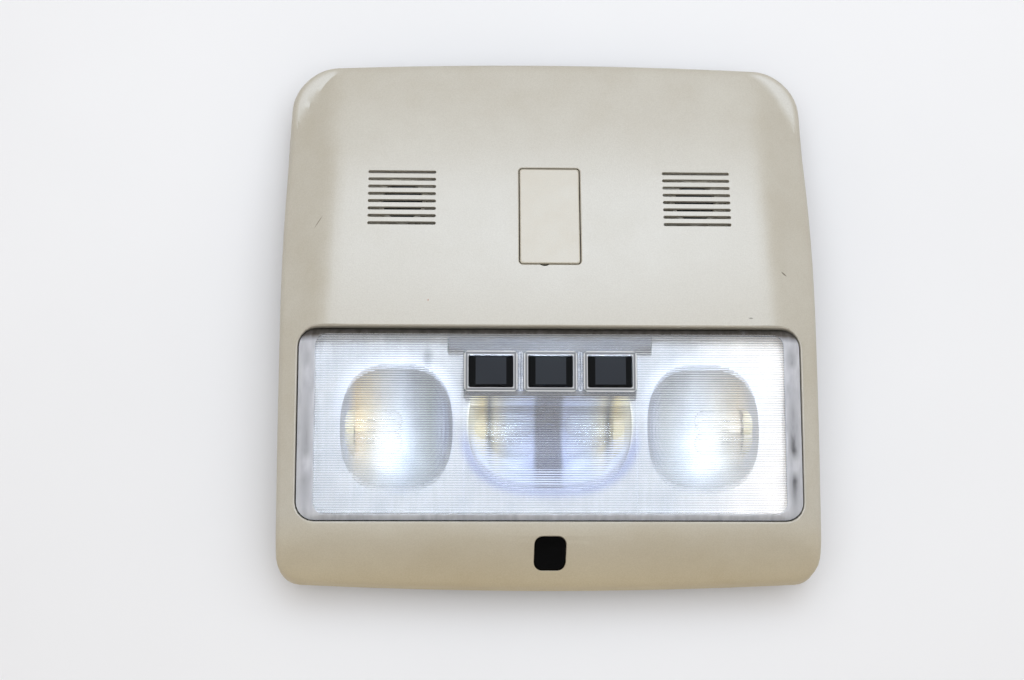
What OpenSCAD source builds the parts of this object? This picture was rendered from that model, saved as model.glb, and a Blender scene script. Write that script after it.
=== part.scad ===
// Overhead interior light for a car: a domed beige bezel with two sensor grilles and a
// blanking plate, a fluted clear lens over three lamp bowls, and three push keys.
// Lies face up: +Z points out of the lens, +Y to the grilles, and z = 0 is the back.

/* [Bezel] */
// Length of the bezel at its centre line
body_l = 227.1; // [222:0.1:236]
// Width of the bezel beside the lens
side_frame = 8.2; // [6.6:0.1:12]
// Height of the crest of the face above the back
face_z = 46.5; // [44:0.5:50]
// Height of the rim above the back
rim_z = 18; // [14:0.5:20]
// Wall of the bezel
wall = 2.5; // [2:0.1:3]
// Radius of the two corners at the grille end
front_corner_r = 18.5; // [14:0.5:22]
// Radius of the two corners at the lens end
rear_corner_r = 9.5; // [8:0.5:16]
// How far each end bows out at its middle
end_bow = 2.8; // [0:0.1:4]
// Radius of the bowed sides
side_r = 1700; // [1200:50:4000]
// Outward draft of the side walls down to the rim
draft = 0.8; // [0:0.1:1.2]
// Radius of the edge between face and side wall
edge_r = 2.4; // [1.5:0.1:3]

/* [Lens] */
// Length of the opening for the lens
opening_l = 80; // [76:0.5:86]
// Width of the bezel between the opening and the lens end
lens_strip = 26.95; // [26:0.05:30]
// Gap between lens and opening
lens_gap = 0.6; // [0.4:0.1:1]
// Height of the face of the lens
lens_z = 44; // [43:0.25:45]
// Thickness of the lens
lens_t = 2.2; // [1.8:0.1:2.6]
// Slope at each end of the lens, along the width
lens_end = 7; // [5:0.5:9]
// Chamfer along the two long edges of the lens
lens_edge = 2.3; // [1.5:0.1:3]
// Pitch of the flutes under the lens
flute_pitch = 1.0; // [0.8:0.1:2]
// Depth of the flutes
flute_h = 0.45; // [0.3:0.05:0.6]

/* [Keys] */
// Width of a key
key_w = 17.6; // [15:0.2:19]
// Length of a key
key_l = 12.6; // [11:0.2:13.4]
// Distance between keys
key_pitch = 24.6; // [24.2:0.2:25.2]
// Distance from the front of the opening to the middle of the keys
key_inset = 18.5; // [18:0.1:19]
// How far the keys stand out of the lens
key_rise = 2.6; // [2:0.1:3.5]
// Travel of a key
key_travel = 1.8; // [1:0.1:2]
// Gap round a key in its window
key_gap = 0.4; // [0.3:0.05:0.6]

/* [Lamps] */
// Half width of a reading lamp's bowl
side_bowl_x = 23.2; // [20:0.2:23.6]
// Half length of a reading lamp's bowl
side_bowl_y = 25.9; // [23:0.1:27]
// Half width of the courtesy lamp's bowl
mid_bowl_x = 33.8; // [31:0.2:36]
// Space between the courtesy lamp's bowl and each reading lamp's bowl
bowl_space = 6.4; // [5:0.2:9]
// Room beside each reading lamp's bowl for its holder
holder_room = 15; // [14.5:0.1:18]
// Depth of the bowls
bowl_depth = 20; // [18:0.5:21]
// Radius of a bulb's glass
bulb_r = 4.8; // [4:0.1:5]
// Length of a bulb's glass
bulb_l = 20; // [17:0.5:21]

/* [Grilles and cover] */
// Distance from the middle to a grille
grille_x = 62; // [55:0.5:66]
// Distance from the grille end to the middle of the grilles
grille_inset = 64.75; // [58:0.25:68]
// Length of a slot
slot_l = 28.6; // [24:0.2:30]
// Width of a slot
slot_w = 1.4; // [1:0.1:1.8]
// Pitch of the slots
slot_pitch = 3.28; // [2.8:0.02:3.4]
// Number of slots in a grille
slot_count = 8; // [5:1:8]
// Width of the blanking plate
blank_w = 25.1; // [20:0.1:28]
// Length of the blanking plate
blank_l = 42; // [36:0.5:46]
// Distance from the grille end to the middle of the blanking plate
blank_inset = 72.45; // [66:0.05:74]
// Gap round the blanking plate
blank_gap = 0.4; // [0.3:0.05:0.6]
// Width of the dark window in the lower edge
window_w = 12.6; // [10:0.2:15]
// Length of the dark window, seen from above
window_l = 13.1; // [11:0.1:14]
// Distance from the lens end to the middle of the dark window
window_inset = 14.25; // [13.5:0.05:15]

/* [Housing] */
// Wall of the lamp housing
housing_wall = 2; // [1.6:0.1:2.4]
// Half width of the deep middle block of the housing
block_x = 48; // [47:0.5:54]
// Thickness of the circuit board
board_t = 1.6; // [1:0.1:2]
// Radius of the shank of a housing screw
screw_r = 1.45; // [1.2:0.05:1.5]

/* [Hidden] */
$fn = 32;

// Widths, from the bowls outwards
skirt_t = 2;
plate_gap = 0.4;
plate_w = 2 * (mid_bowl_x + bowl_space + 2 * side_bowl_x + holder_room);
lens_w = plate_w + 2 * (skirt_t + plate_gap);
opening_w = lens_w + 2 * lens_gap;
body_w = opening_w + 2 * side_frame;
side_bowl_at = mid_bowl_x + bowl_space + side_bowl_x;

// Places along the bezel, from its two ends
opening_y = lens_strip + opening_l / 2 - body_l / 2;
key_y = opening_y + opening_l / 2 - key_inset;
grille_y = body_l / 2 - grille_inset;
blank_y = body_l / 2 - blank_inset;
window_y = window_inset - body_l / 2;

// Face of the bezel
crest_y = opening_y + opening_l / 2 + 1.2;
skin_drop = wall * 1.12;
front_curve = 305;
rear_curve = 937;
side_fall = 0.62;
front_fall = 0.42;
rear_fall = 0.95;
edge_z = rim_z + 4;
crease_x = body_w / 2 - 18.2;
crease_turn = 0.055;
half_l = body_l / 2 - end_bow;

// Openings
lens_l = opening_l - 2 * lens_gap;
opening_r = 8;
lens_r = opening_r - lens_gap;
lip_r = 1.0;
lip_wall = 1.8;
blank_open_r = 1.6;
blank_lip = 0.62;
window_lip = 0.6;
notch_x = -2.3;
notch_r = 3.2;
notch_in = 2.4;
lens_drop = 3.6;
flange_gap = 0.2;
lens_side = 5.2;
lens_foot_z = lens_z - lens_drop - lens_side;
lens_top_r = 5;
lens_flange = 2.2;
lens_flange_t = 1.5;

// Lamp housing and reflector
plate_drop = 5.5;
plate_top = lens_z - plate_drop;
plate_t = 1.4;
plate_z = plate_top - plate_t;
plate_l = lens_l - 2 * (skirt_t + plate_gap);
flange_top = lens_foot_z - lens_flange_t - flange_gap;
flange_t = 1.8;
flange_rim = lens_flange + 0.3;
flange_w = lens_w + 2 * flange_rim;
flange_l = lens_l + 2 * flange_rim;
flange_z = flange_top - flange_t;
wing_z = 10;
ear_x = 88;
ear_out = 3.6;
ear_r = 4.2;
ear_hole_r = screw_r + 0.25;
pilot_r = screw_r + 0.15;
boss_r = 3.5;

// Bowls
bowl_wall = 1.4;
bowl_power = 2.6;
bowl_y = opening_y - 1.4;
mid_bowl_y = 26.8;
mid_bowl_cut = key_y - 12.7;
bulb_z = plate_z - 9.6;
neck_r = bulb_r + 2.6;
holder_r = bulb_r + 0.8;
holder_l = 12;
side_face = side_bowl_at + side_bowl_x * 0.77;
mid_face = mid_bowl_x * 0.79;
neck_in = 4;
neck_end = bowl_wall + 0.4 + max(side_bowl_at + side_bowl_x - side_face, mid_bowl_x - mid_face);
flange_h = 1.6;
web_w = 2;
web_t = 1.6;
bulb_base = 6.3;
contact_l = 2.4;

// Keys, switches and board
key_top = lens_z + key_rise;
key_h = 10.4;
key_skirt_z = key_top - key_h;
guide_top = lens_z - 3.1;
guide_t = 1.7;
guide_z = guide_top - guide_t;
key_stop = 1.2;
key_stop_t = 1.4;
key_stop_z = guide_z - 0.15 - key_stop_t;
board_top = 24.6;
board_z = board_top - board_t;
board_x = 45;
board_post_in = 2.2;
board_post_r = 2.5;
board_rear = key_y - 10.5;
board_front = opening_y + plate_l / 2 - housing_wall - 0.5;
guide_half = 35.4;
guide_rear = key_y - 9.9;
guide_front = key_y + 9.3;
bar_half = 42.1;
bar_front = key_y + 14.5;
switch_w = 12;
switch_top = key_skirt_z - key_travel - 0.6;
plunger_r = 1.9;
plunger_z = switch_top - 4.1;
plunger_gap = 0.3;
collar = 1.6;
collar_h = 0.9;
window_gap = 0.5;

// Sensors and window
tube_r = 10.2;
tube_wall = 1.6;
tube_top = crown(grille_y + tube_r) - skin_drop - 0.6;
sensor_base_z = 25;
sensor_base_t = 2;
sensor_top = sensor_base_z + sensor_base_t;
sensor_half = 20;
sensor_post_x = 16.5;
post_r = 2.8;
small_screw_r = 1.0;
well_wall = 1.5;
well_z = 30;
window_well_z = 25.5;
window_gap_side = 0.3;
window_r = 3.4;
led_z = 19.5;
led_t = 1.2;
led_post_x = 11;
led_post_r = 2.4;

// Clips
tower_x = 70;
tower_front_y = body_l / 2 - 15.55;
tower_rear_y = 13.55 - body_l / 2;
tower_w = 12;
tower_t = 5;
tower_z = 1.0;
clip_t = 0.6;
clip_gap = 0.1;
clip_w = 9;
clip_h = 11;

// Connectors
socket_x = 24;
socket_w = 32;
socket_l = 14;
socket_y = key_y;
socket_z = 1;
socket_wall = 2;
socket_floor = 15;
pin_side = 0.64;
pin_pitch = 4;
pin_z = 6;
plug_x = -22;
plug_w = 24;
plug_z = 14.6;
plug_h = 5.8;
header_l = 8;
header_front = board_front - 7;
plug_front = opening_y + plate_l / 2 + 7;

// Smallest of two heights, blended over k
function blend_min(a, b, k) =
    let (h = max(0, min(1, 0.5 + 0.5 * (b - a) / k)))
    b * (1 - h) + a * h - k * h * (1 - h);

// Height of the crown along the middle
function crown(y) = face_z - pow(y - crest_y, 2) / (2 * (y > crest_y ? front_curve : rear_curve));

// Distance that the ends bow out at x
function bow(x) = end_bow * (1 - pow(x / (body_w / 2), 2));

// Half width of the outline at y, before the corners
function side_x(y) = body_w / 2 - (y > 0 ? y * y / (2 * side_r) : 0);

// Height of the face with soft creases, before its outer edge is rounded
function soft_face(x, y) =
    let (top = crown(y),
        side = top - side_fall * (abs(x) - crease_x + crease_turn * y),
        front = edge_z + front_fall * (half_l + bow(x) - y),
        rear = edge_z + rear_fall * (y + half_l + bow(x)),
        across = blend_min(top, side, 2.6),
        along = blend_min(front, rear, 5))
    max(edge_z, blend_min(across, along, 5));

// Corner radius on the side of the bezel that y is on
function corner_r(y) = y > 0 ? front_corner_r : rear_corner_r;

// Distance from the outline, where y is measured before the bow
function inside(x, y) =
    let (w = side_x(y), r = corner_r(y), dx = abs(x) - (w - r), dy = abs(y) - (half_l - r))
    dx > 0 && dy > 0 ? r - norm([dx, dy]) : min(w - abs(x), half_l - abs(y));

// How far the rounded outer edge lies below the face
function edge_fall(d) = d >= edge_r ? 0 : edge_r - sqrt(edge_r * edge_r - pow(edge_r - max(d, 0), 2));

// Height of the finished face, where y is measured before the bow
function face(x, y) = soft_face(x, bowed(x, y)) - edge_fall(inside(x, y));

// Where a point of a straight row lies once the ends bow
function bowed(x, y) = y + sign(y) * bow(x) * pow(abs(y) / half_l, 3);

// Half width of the outline at y, corners included
function row_x(y, inset) =
    let (w = side_x(y) - inset, r = corner_r(y) - inset, dy = abs(y) - (half_l - corner_r(y)))
    dy > 0 ? w - r + sqrt(max(0, r * r - dy * dy)) : w;

// Steps from the outline inwards, for the columns and rows of the skin
fine_steps = [0, 0.3, 0.9, 1.7, 2.6, 4.5, 7, 9.5, 12, 14.5, 16.5, 18.5, 20.5, 23, 27, 34, 44, 56, 70, 86];
coarse_steps = [0, 1.2, 4.15, 8.2, 13, 17.5, 21, 26, 44, 70];
fine_rows = [0, 0.3, 0.9, 1.7, 2.6, 4.5, 7, 9.5, 12, 14.5, 17, 20, 23.5, 28, 34, 42, 52, 63, 74, 86, 98];
coarse_rows = [0, 1.2, 3.5, 7, 10.5, 14, 19, 26, 38, 54, 76];

function reversed(list) = [for (i = [len(list) - 1:-1:0]) list[i]];

// Solid under the face: inset from the outline, drop below the face, down to base
module skin_solid(inset, drop, base, steps, rows, spread) {
    xs = concat([for (s = steps) s], [-1]);
    ys = concat([for (r = rows) -(half_l - inset) + r], [0], [for (r = reversed(rows)) half_l - inset - r]);
    cols = 2 * len(steps) + 1;
    grid = [for (y = ys)
        let (w = row_x(y, inset))
        concat([for (s = steps) let (x = -(w - s)) [x, bowed(x, y), face(x, y) - drop]],
            [[0, bowed(0, y), face(0, y) - drop]],
            [for (s = reversed(steps)) let (x = w - s) [x, bowed(x, y), face(x, y) - drop]])];
    top = [for (row = grid) for (p = row) p];
    rows_n = len(ys);
    edge = concat([for (c = [0:cols - 1]) c],
        [for (r = [1:rows_n - 1]) r * cols + cols - 1],
        [for (c = [cols - 2:-1:0]) (rows_n - 1) * cols + c],
        [for (r = [rows_n - 2:-1:1]) r * cols]);
    foot = [for (i = edge)
        let (p = top[i], d = norm([p.x, p.y]))
        [p.x * (1 + spread / d), p.y * (1 + spread / d), base]];
    n = len(top);
    m = len(edge);
    polyhedron(
        points = concat(top, foot, [[0, 0, base]]),
        faces = concat(
            [for (r = [0:rows_n - 2]) for (c = [0:cols - 2])
                let (a = r * cols + c) each [[a + cols, a + 1, a], [a + cols, a + cols + 1, a + 1]]],
            [for (i = [0:m - 1]) let (j = (i + 1) % m) each [[edge[i], edge[j], n + j], [edge[i], n + j, n + i]]],
            [for (i = [0:m - 1]) [n + i, n + (i + 1) % m, n + m]]),
        convexity = 6);
}

// Corner points of a rounded rectangle
function rounded_rect(w, l, r, steps = 6) =
    [for (q = [0:3]) for (i = [0:steps])
        let (a = q * 90 + i * 90 / steps,
            sx = (q == 0 || q == 3) ? 1 : -1,
            sy = q < 2 ? 1 : -1)
        [sx * (w / 2 - r) + r * cos(a), sy * (l / 2 - r) + r * sin(a)]];

// The same outline with its straight sides divided, so that it can follow the face
function divided_rect(w, l, r, steps, nx, ny) =
    let (arc = rounded_rect(w, l, r, steps), n = steps + 1)
    [for (q = [0:3])
        let (a = arc[q * n + steps], b = arc[(q * n + n) % (4 * n)], parts = q % 2 == 0 ? nx : ny)
        each concat([for (i = [0:steps]) arc[q * n + i]],
            [for (i = [1:1:parts - 1]) a + (b - a) * i / parts])];

module rounded_slab(w, l, r, z, h) {
    translate([0, 0, z])
        linear_extrude(h)
            polygon(rounded_rect(w, l, r));
}

// Cutter for an opening: straight below, and flared with a round lip where it meets the face
module lipped_cut(w, l, r, y, lip, nx = 1, ny = 1) {
    turns = 3;
    turn_end = 68;
    flare = [for (i = [0:turns])
        let (a = i * turn_end / turns) [lip * (1 - cos(a)), -lip * (1 - sin(a))]];
    sections = concat([[0, -20]], flare, [[lip * 1.6, 12]]);
    rings = [for (s = sections)
        [for (p = divided_rect(w + 2 * s[0], l + 2 * s[0], r + s[0], 5, nx, ny))
            [p.x, p.y + y, soft_face(p.x, p.y + y) + s[1]]]];
    dense = len(rings[0]);
    count = len(rings);
    low = soft_face(0, y) - 22;
    polyhedron(
        points = concat([for (ring = rings) for (p = ring) p],
            [[0, y, low], [0, y, soft_face(0, y) + 12]]),
        faces = concat(
            [for (i = [0:dense - 1]) [i, (i + 1) % dense, count * dense]],
            [for (k = [0:count - 2]) for (i = [0:dense - 1])
                let (j = (i + 1) % dense, a = k * dense)
                each [[a + i, a + dense + j, a + j], [a + i, a + dense + i, a + dense + j]]],
            [for (i = [0:dense - 1])
                [(count - 1) * dense + (i + 1) % dense, (count - 1) * dense + i, count * dense + 1]]),
        convexity = 4);
}

// Slot with round ends along X
module slot(length, width, y, z, h) {
    translate([0, y, z])
        hull()
            for (s = [-1, 1])
                translate([s * (length - width) / 2, 0, 0])
                    cylinder(h = h, d = width, $fn = 12);
}

module mirrored_pair() {
    for (s = [-1, 1])
        mirror([s < 0 ? 1 : 0, 0, 0])
            children();
}

// Solid under the face, for what is trimmed to the skin from inside
module under_skin() {
    skin_solid(wall / 2, wall / 2, -1, coarse_steps, coarse_rows, 0);
}

// Stock for the wall round an opening, which the opening's cutter then hollows
module well(w, l, r, y, z, t) {
    translate([0, y, 0])
        rounded_slab(w + 2 * t, l + 2 * t, r + t, z, face_z);
}

// Ears and bosses where the housing is screwed to the bezel
module at_ears() {
    for (sx = [-1, 1])
        for (sy = [-1, 1])
            translate([sx * ear_x, opening_y + sy * (flange_l / 2 + ear_out), 0])
                children();
}

module at_towers() {
    for (sx = [-1, 1])
        for (y = [tower_front_y, tower_rear_y])
            translate([sx * tower_x, y, 0])
                children();
}

module post(x, y, z, r) {
    translate([x, y, z])
        cylinder(h = face_z - z, r = r, $fn = 20);
}

module bezel() {
    color("#cdc6b6")
        difference() {
            union() {
                difference() {
                    skin_solid(0, 0, rim_z, fine_steps, fine_rows, draft);
                    skin_solid(wall, skin_drop, rim_z - 1, coarse_steps, coarse_rows, draft);
                }
                intersection() {
                    under_skin();
                    union() {
                        well(opening_w, opening_l, opening_r, opening_y, lens_foot_z + flange_gap, lip_wall);
                        well(blank_w + 2 * blank_gap, blank_l + 2 * blank_gap, blank_open_r, blank_y, well_z, well_wall);
                        well(window_w + 2 * window_gap_side, window_l + 2 * window_gap_side,
                            window_r, window_y, window_well_z, well_wall);
                        at_ears()
                            post(0, 0, flange_top, boss_r);
                        mirrored_pair()
                            for (s = [-1, 1])
                                post(grille_x + s * sensor_post_x, grille_y, sensor_top, post_r);
                        mirrored_pair()
                            post(led_post_x, window_y, led_z + led_t, led_post_r);
                        at_towers()
                            translate([-tower_w / 2, -tower_t / 2, tower_z])
                                cube([tower_w, tower_t, face_z]);
                    }
                }
            }
            lipped_cut(opening_w, opening_l, opening_r, opening_y, lip_r, 14, 6);
            lipped_cut(blank_w + 2 * blank_gap, blank_l + 2 * blank_gap, blank_open_r, blank_y, blank_lip, 1, 4);
            lipped_cut(window_w + 2 * window_gap_side, window_l + 2 * window_gap_side,
                window_r, window_y, window_lip);
            translate([notch_x, blank_y - blank_l / 2 - blank_gap + notch_in, well_z + 3])
                cylinder(h = face_z, r = notch_r);
            mirrored_pair()
                translate([grille_x, 0, 0])
                    for (i = [0:slot_count - 1])
                        slot(slot_l, slot_w, grille_y + (i - (slot_count - 1) / 2) * slot_pitch, tube_top - 2, 30);
            at_ears()
                translate([0, 0, flange_top - 1])
                    cylinder(h = 7, r = pilot_r, $fn = 24);
            mirrored_pair()
                for (s = [-1, 1])
                    translate([grille_x + s * sensor_post_x, grille_y, sensor_top - 1])
                        cylinder(h = 7, r = small_screw_r + 0.12, $fn = 20);
        }
}

// Plug that fills an opening: flat foot, straight sides, and a top that follows the face at a drop
module face_plug(w, l, r, y, drop, foot, round) {
    shrink = [0, 0.35 * round, round, 0.25 * w, 0.4 * w];
    below = [round, 0.3 * round, 0, 0, 0];
    outline = rounded_rect(w, l, r);
    count = len(outline);
    rings = concat([[for (p = outline) [p.x, p.y + y, foot]]],
        [for (k = [0:len(shrink) - 1])
            [for (p = outline)
                let (f = 1 - 2 * shrink[k] / w, g = 1 - 2 * shrink[k] / l, x = p.x * f, v = y + p.y * (k < 3 ? g : f))
                [x, v, soft_face(x, v) - drop - below[k]]]]);
    last = len(rings) - 1;
    polyhedron(
        points = concat([for (ring = rings) for (p = ring) p],
            [[0, y, soft_face(0, y) - drop], [0, y, foot]]),
        faces = concat(
            [for (i = [0:count - 1]) [i, (i + 1) % count, (last + 1) * count + 1]],
            [for (k = [0:last - 1]) for (i = [0:count - 1])
                let (j = (i + 1) % count, a = k * count)
                each [[a + i, a + count + j, a + j], [a + i, a + count + i, a + count + j]]],
            [for (i = [0:count - 1])
                [last * count + (i + 1) % count, last * count + i, (last + 1) * count]]),
        convexity = 4);
}

module blanking_plate() {
    leg_t = 1.2;
    leg_l = 8;
    plate_foot = soft_face(blank_w / 2, blank_y + blank_l / 2) - 3.2;
    color("#d2ccbd") {
        face_plug(blank_w, blank_l, 1.2, blank_y, 0.2, plate_foot, 0.5);
        for (s = [-1, 1])
            for (v = [-0.25, 0.25])
                translate([s * (blank_w / 2 - leg_t / 2), blank_y + v * blank_l, 0]) {
                    translate([-leg_t / 2, -leg_l / 2, well_z - 3.4])
                        cube([leg_t, leg_l, plate_foot - well_z + 3.6]);
                    translate([s > 0 ? 0 : -leg_t - 0.1, -leg_l / 2, well_z - 2.6])
                        cube([leg_t + 0.1, leg_l, 2]);
                }
    }
}

// Clear lens: sloped ends, fluted underneath, with a collared window for each key
module lens() {
    flutes = floor((lens_l - 2 * lens_edge - 3) / flute_pitch);
    flute_base = lens_z - lens_t;
    flute_w = lens_w - 2 * lens_end - 2;
    window_w2 = key_w + 2 * window_gap;
    window_l2 = key_l + 2 * window_gap;
    baffle_z = plate_top + 0.5;
    baffle_y = opening_y - lens_l / 2 + 3;
    color("#e8edf2", 0.5)
        difference() {
            union() {
                translate([0, opening_y, 0])
                    difference() {
                        union() {
                            hull() {
                                rounded_slab(lens_w, lens_l, lens_r, lens_z - lens_drop - 0.2, 0.2);
                                rounded_slab(lens_w - 2 * lens_end, lens_l - 2 * lens_edge, lens_top_r, lens_z - 0.4, 0.4);
                            }
                            rounded_slab(lens_w, lens_l, lens_r, lens_foot_z - 0.1, lens_z - lens_drop - lens_foot_z);
                            rounded_slab(lens_w + 2 * lens_flange, lens_l + 2 * lens_flange, lens_r + lens_flange,
                                lens_foot_z - lens_flange_t, lens_flange_t);
                        }
                        hull() {
                            rounded_slab(lens_w - 2 * skirt_t, lens_l - 2 * skirt_t, lens_r - skirt_t,
                                lens_z - lens_drop - lens_t, 0.2);
                            rounded_slab(lens_w - 2 * lens_end, lens_l - 2 * skirt_t - 1.2, lens_top_r - 0.6,
                                flute_base - 0.2, 0.2);
                        }
                        rounded_slab(lens_w - 2 * skirt_t, lens_l - 2 * skirt_t, lens_r - skirt_t,
                            lens_foot_z - lens_flange_t - 1, lens_z - lens_drop - lens_t - lens_foot_z + lens_flange_t + 1.1);
                    }
                translate([-flute_w / 2, opening_y, flute_base + 0.1])
                    rotate([90, 0, 90])
                        linear_extrude(flute_w)
                            polygon(concat(
                                [[flutes * flute_pitch / 2, 0.2], [-flutes * flute_pitch / 2, 0.2]],
                                [for (i = [0:flutes - 1]) for (s = [0, 0.5])
                                    [(i + s - flutes / 2) * flute_pitch, s == 0 ? 0 : -flute_h]],
                                [[flutes * flute_pitch / 2, 0]]));
                for (s = [-1, 1])
                    translate([s * (guide_half + 0.2) - 0.5, baffle_y, baffle_z])
                        cube([1, guide_rear - 1 - baffle_y, flute_base - baffle_z + 0.1]);
                for (i = [-1:1])
                    translate([i * key_pitch, key_y, 0])
                        rounded_slab(window_w2 + 2 * collar, window_l2 + 2 * collar, 1.6, flute_base, lens_t + collar_h);
            }
            for (i = [-1:1])
                translate([i * key_pitch, key_y, 0])
                    rounded_slab(window_w2, window_l2, 0.8, flute_base - 2, lens_t + collar_h + 4);
        }
}

// Outline of a bowl: a rounded square, wider than a circle at its corners
function bowl_ring(rx, ry, k, count = 40) =
    [for (i = [0:count - 1])
        let (a = i * 360 / count, c = cos(a), s = sin(a),
            f = pow(pow(abs(c), bowl_power) + pow(abs(s), bowl_power), -1 / bowl_power))
        [rx * k * c * f, ry * k * s * f]];

// Convex dish that hangs from the plate, grown all round by grow
module dish(rx, ry, depth, grow, rise) {
    levels = [1, 0.97, 0.92, 0.85, 0.75, 0.62, 0.46, 0.25];
    hull() {
        for (k = levels)
            translate([0, 0, plate_z - depth * (1 - pow(k, 3)) - grow])
                linear_extrude(0.01)
                    polygon(bowl_ring(rx + grow, ry + grow, k));
        translate([0, 0, plate_z])
            linear_extrude(rise)
                polygon(bowl_ring(rx + grow, ry + grow, 1));
    }
}

module side_dish(s, grow, rise) {
    translate([s * side_bowl_at, bowl_y, 0])
        dish(side_bowl_x, side_bowl_y, bowl_depth, grow, rise);
}

// The middle bowl stops at a straight wall under the keys
module middle_dish(grow, rise) {
    intersection() {
        translate([0, opening_y, 0])
            dish(mid_bowl_x, mid_bowl_y, bowl_depth - 1, grow, rise);
        translate([-mid_bowl_x * 2, mid_bowl_cut - 100 + grow, -1])
            cube([mid_bowl_x * 4, 100, plate_top + 10]);
    }
}

// Lies along X, with its face at x = face and its body going outwards
module along_x(s, face_at, y) {
    translate([s * face_at, y, bulb_z])
        rotate([0, s * 90, 0])
            children();
}

module at_lamp(which) {
    if (which == "reading_left") along_x(-1, side_face, bowl_y) children();
    if (which == "reading_right") along_x(1, side_face, bowl_y) children();
    if (which == "courtesy_left") along_x(-1, mid_face, opening_y - 3) children();
    if (which == "courtesy_right") along_x(1, mid_face, opening_y - 3) children();
}

LAMPS = ["reading_left", "reading_right", "courtesy_left", "courtesy_right"];

// Metallised plate with a bowl for each reading lamp and one for the courtesy lamp
module reflector() {
    color("#d9dce2")
        difference() {
            union() {
                translate([0, opening_y, 0])
                    rounded_slab(plate_w, plate_l, 5, plate_z, plate_t);
                for (s = [-1, 1])
                    side_dish(s, bowl_wall, 0.01);
                middle_dish(bowl_wall, 0.01);
                for (l = LAMPS)
                    at_lamp(l)
                        translate([0, 0, -neck_in])
                            cylinder(h = neck_in + neck_end, r = neck_r);
                for (s = [-1, 1])
                    translate([s * (side_face + neck_end - web_w / 2) - web_w / 2, bowl_y - web_t / 2, bulb_z])
                        cube([web_w, web_t, plate_z - bulb_z + 0.1]);
            }
            for (s = [-1, 1])
                side_dish(s, 0, 4);
            middle_dish(0, 4);
            for (l = LAMPS)
                at_lamp(l)
                    translate([0, 0, -neck_in - 5])
                        cylinder(h = neck_in + neck_end + 10, r = holder_r + 0.2);
            translate([-bar_half - 0.4, guide_front - 0.4, plate_z - 1])
                cube([2 * bar_half + 0.8, plate_l, plate_t + 2]);
            translate([-guide_half - 0.4, guide_rear - 0.4, plate_z - 1])
                cube([2 * guide_half + 0.8, 30, plate_t + 2]);
        }
}

// Grey carrier that the keys slide in
module key_guide() {
    cell_w = key_w + 2 * key_stop + 1;
    cell_l = key_l + 2 * key_stop + 1;
    color("#9a9da2")
        difference() {
            union() {
                translate([-bar_half, guide_front - 0.1, guide_z])
                    cube([2 * bar_half, bar_front - guide_front + 0.1, guide_t]);
                translate([-guide_half, guide_rear, board_top])
                    cube([2 * guide_half, guide_front - guide_rear, guide_top - board_top]);
            }
            for (i = [-1:1])
                translate([i * key_pitch, key_y, 0]) {
                    translate([-key_w / 2 - key_gap, -key_l / 2 - key_gap, guide_z - 1])
                        cube([key_w + 2 * key_gap, key_l + 2 * key_gap, guide_t + 2]);
                    translate([-cell_w / 2, -cell_l / 2, board_top - 1])
                        cube([cell_w, cell_l, guide_z - board_top + 1]);
                }
        }
}

// Key cap: flat middle, falling sides, hollow below with a stem for the plunger
module key(i) {
    skirt = 1.5;
    bevel = 2.5;
    color("#1d1f22")
        translate([i * key_pitch, key_y, 0]) {
            difference() {
                hull() {
                    translate([-key_w / 2, -key_l / 2, key_skirt_z])
                        cube([key_w, key_l, key_top - key_skirt_z - 1.4]);
                    translate([-key_w / 2 + bevel, -key_l / 2 + 0.6, key_top - 0.2])
                        cube([key_w - 2 * bevel, key_l - 1.2, 0.2]);
                }
                translate([-key_w / 2 + skirt, -key_l / 2 + skirt, key_skirt_z - 1])
                    cube([key_w - 2 * skirt, key_l - 2 * skirt, key_top - key_skirt_z - 2]);
            }
            translate([0, 0, key_skirt_z])
                cylinder(h = key_top - key_skirt_z - 2.5, r = 3);
            difference() {
                translate([-key_w / 2 - key_stop, -key_l / 2 - key_stop, key_stop_z])
                    cube([key_w + 2 * key_stop, key_l + 2 * key_stop, key_stop_t]);
                translate([-key_w / 2 + skirt, -key_l / 2 + skirt, key_stop_z - 1])
                    cube([key_w - 2 * skirt, key_l - 2 * skirt, key_stop_t + 2]);
            }
        }
}

module plunger(i) {
    color("#eeeae0")
        translate([i * key_pitch, key_y, plunger_z])
            cylinder(h = key_skirt_z - plunger_z, r = plunger_r);
}

// Push switch: square body with four feet on the board and a round hole for the plunger
module switch(i) {
    color("#2a2c30")
        translate([i * key_pitch, key_y, 0])
            difference() {
                union() {
                    translate([-switch_w / 2, -switch_w / 2, board_top + 0.6])
                        cube([switch_w, switch_w, switch_top - board_top - 0.6]);
                    for (sx = [-1, 1])
                        for (sy = [-1, 1])
                            translate([sx * 4 - 1, sy * 4 - 1, board_top])
                                cube([2, 2, 0.7]);
                }
                translate([0, 0, plunger_z - key_travel - 1])
                    cylinder(h = 20, r = plunger_r + plunger_gap);
            }
}

module circuit_board() {
    color("#1f6b43")
        translate([-board_x, board_rear, board_z])
            cube([2 * board_x, board_front - board_rear, board_t]);
}

module harness_socket() {
    color("#202225")
        translate([socket_x, socket_y, socket_z])
            difference() {
                translate([-socket_w / 2, -socket_l / 2, 0])
                    cube([socket_w, socket_l, board_z - socket_z]);
                translate([-socket_w / 2 + socket_wall, -socket_l / 2 + socket_wall, -1])
                    cube([socket_w - 2 * socket_wall, socket_l - 2 * socket_wall, socket_floor - socket_z + 1]);
            }
}

module socket_pins() {
    color("#c9b27a")
        for (i = [-2.5:1:2.5])
            for (j = [-0.5, 0.5])
                translate([socket_x + i * pin_pitch - pin_side / 2, socket_y + j * pin_pitch - pin_side / 2, pin_z])
                    cube([pin_side, pin_side, socket_floor - pin_z]);
}

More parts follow.
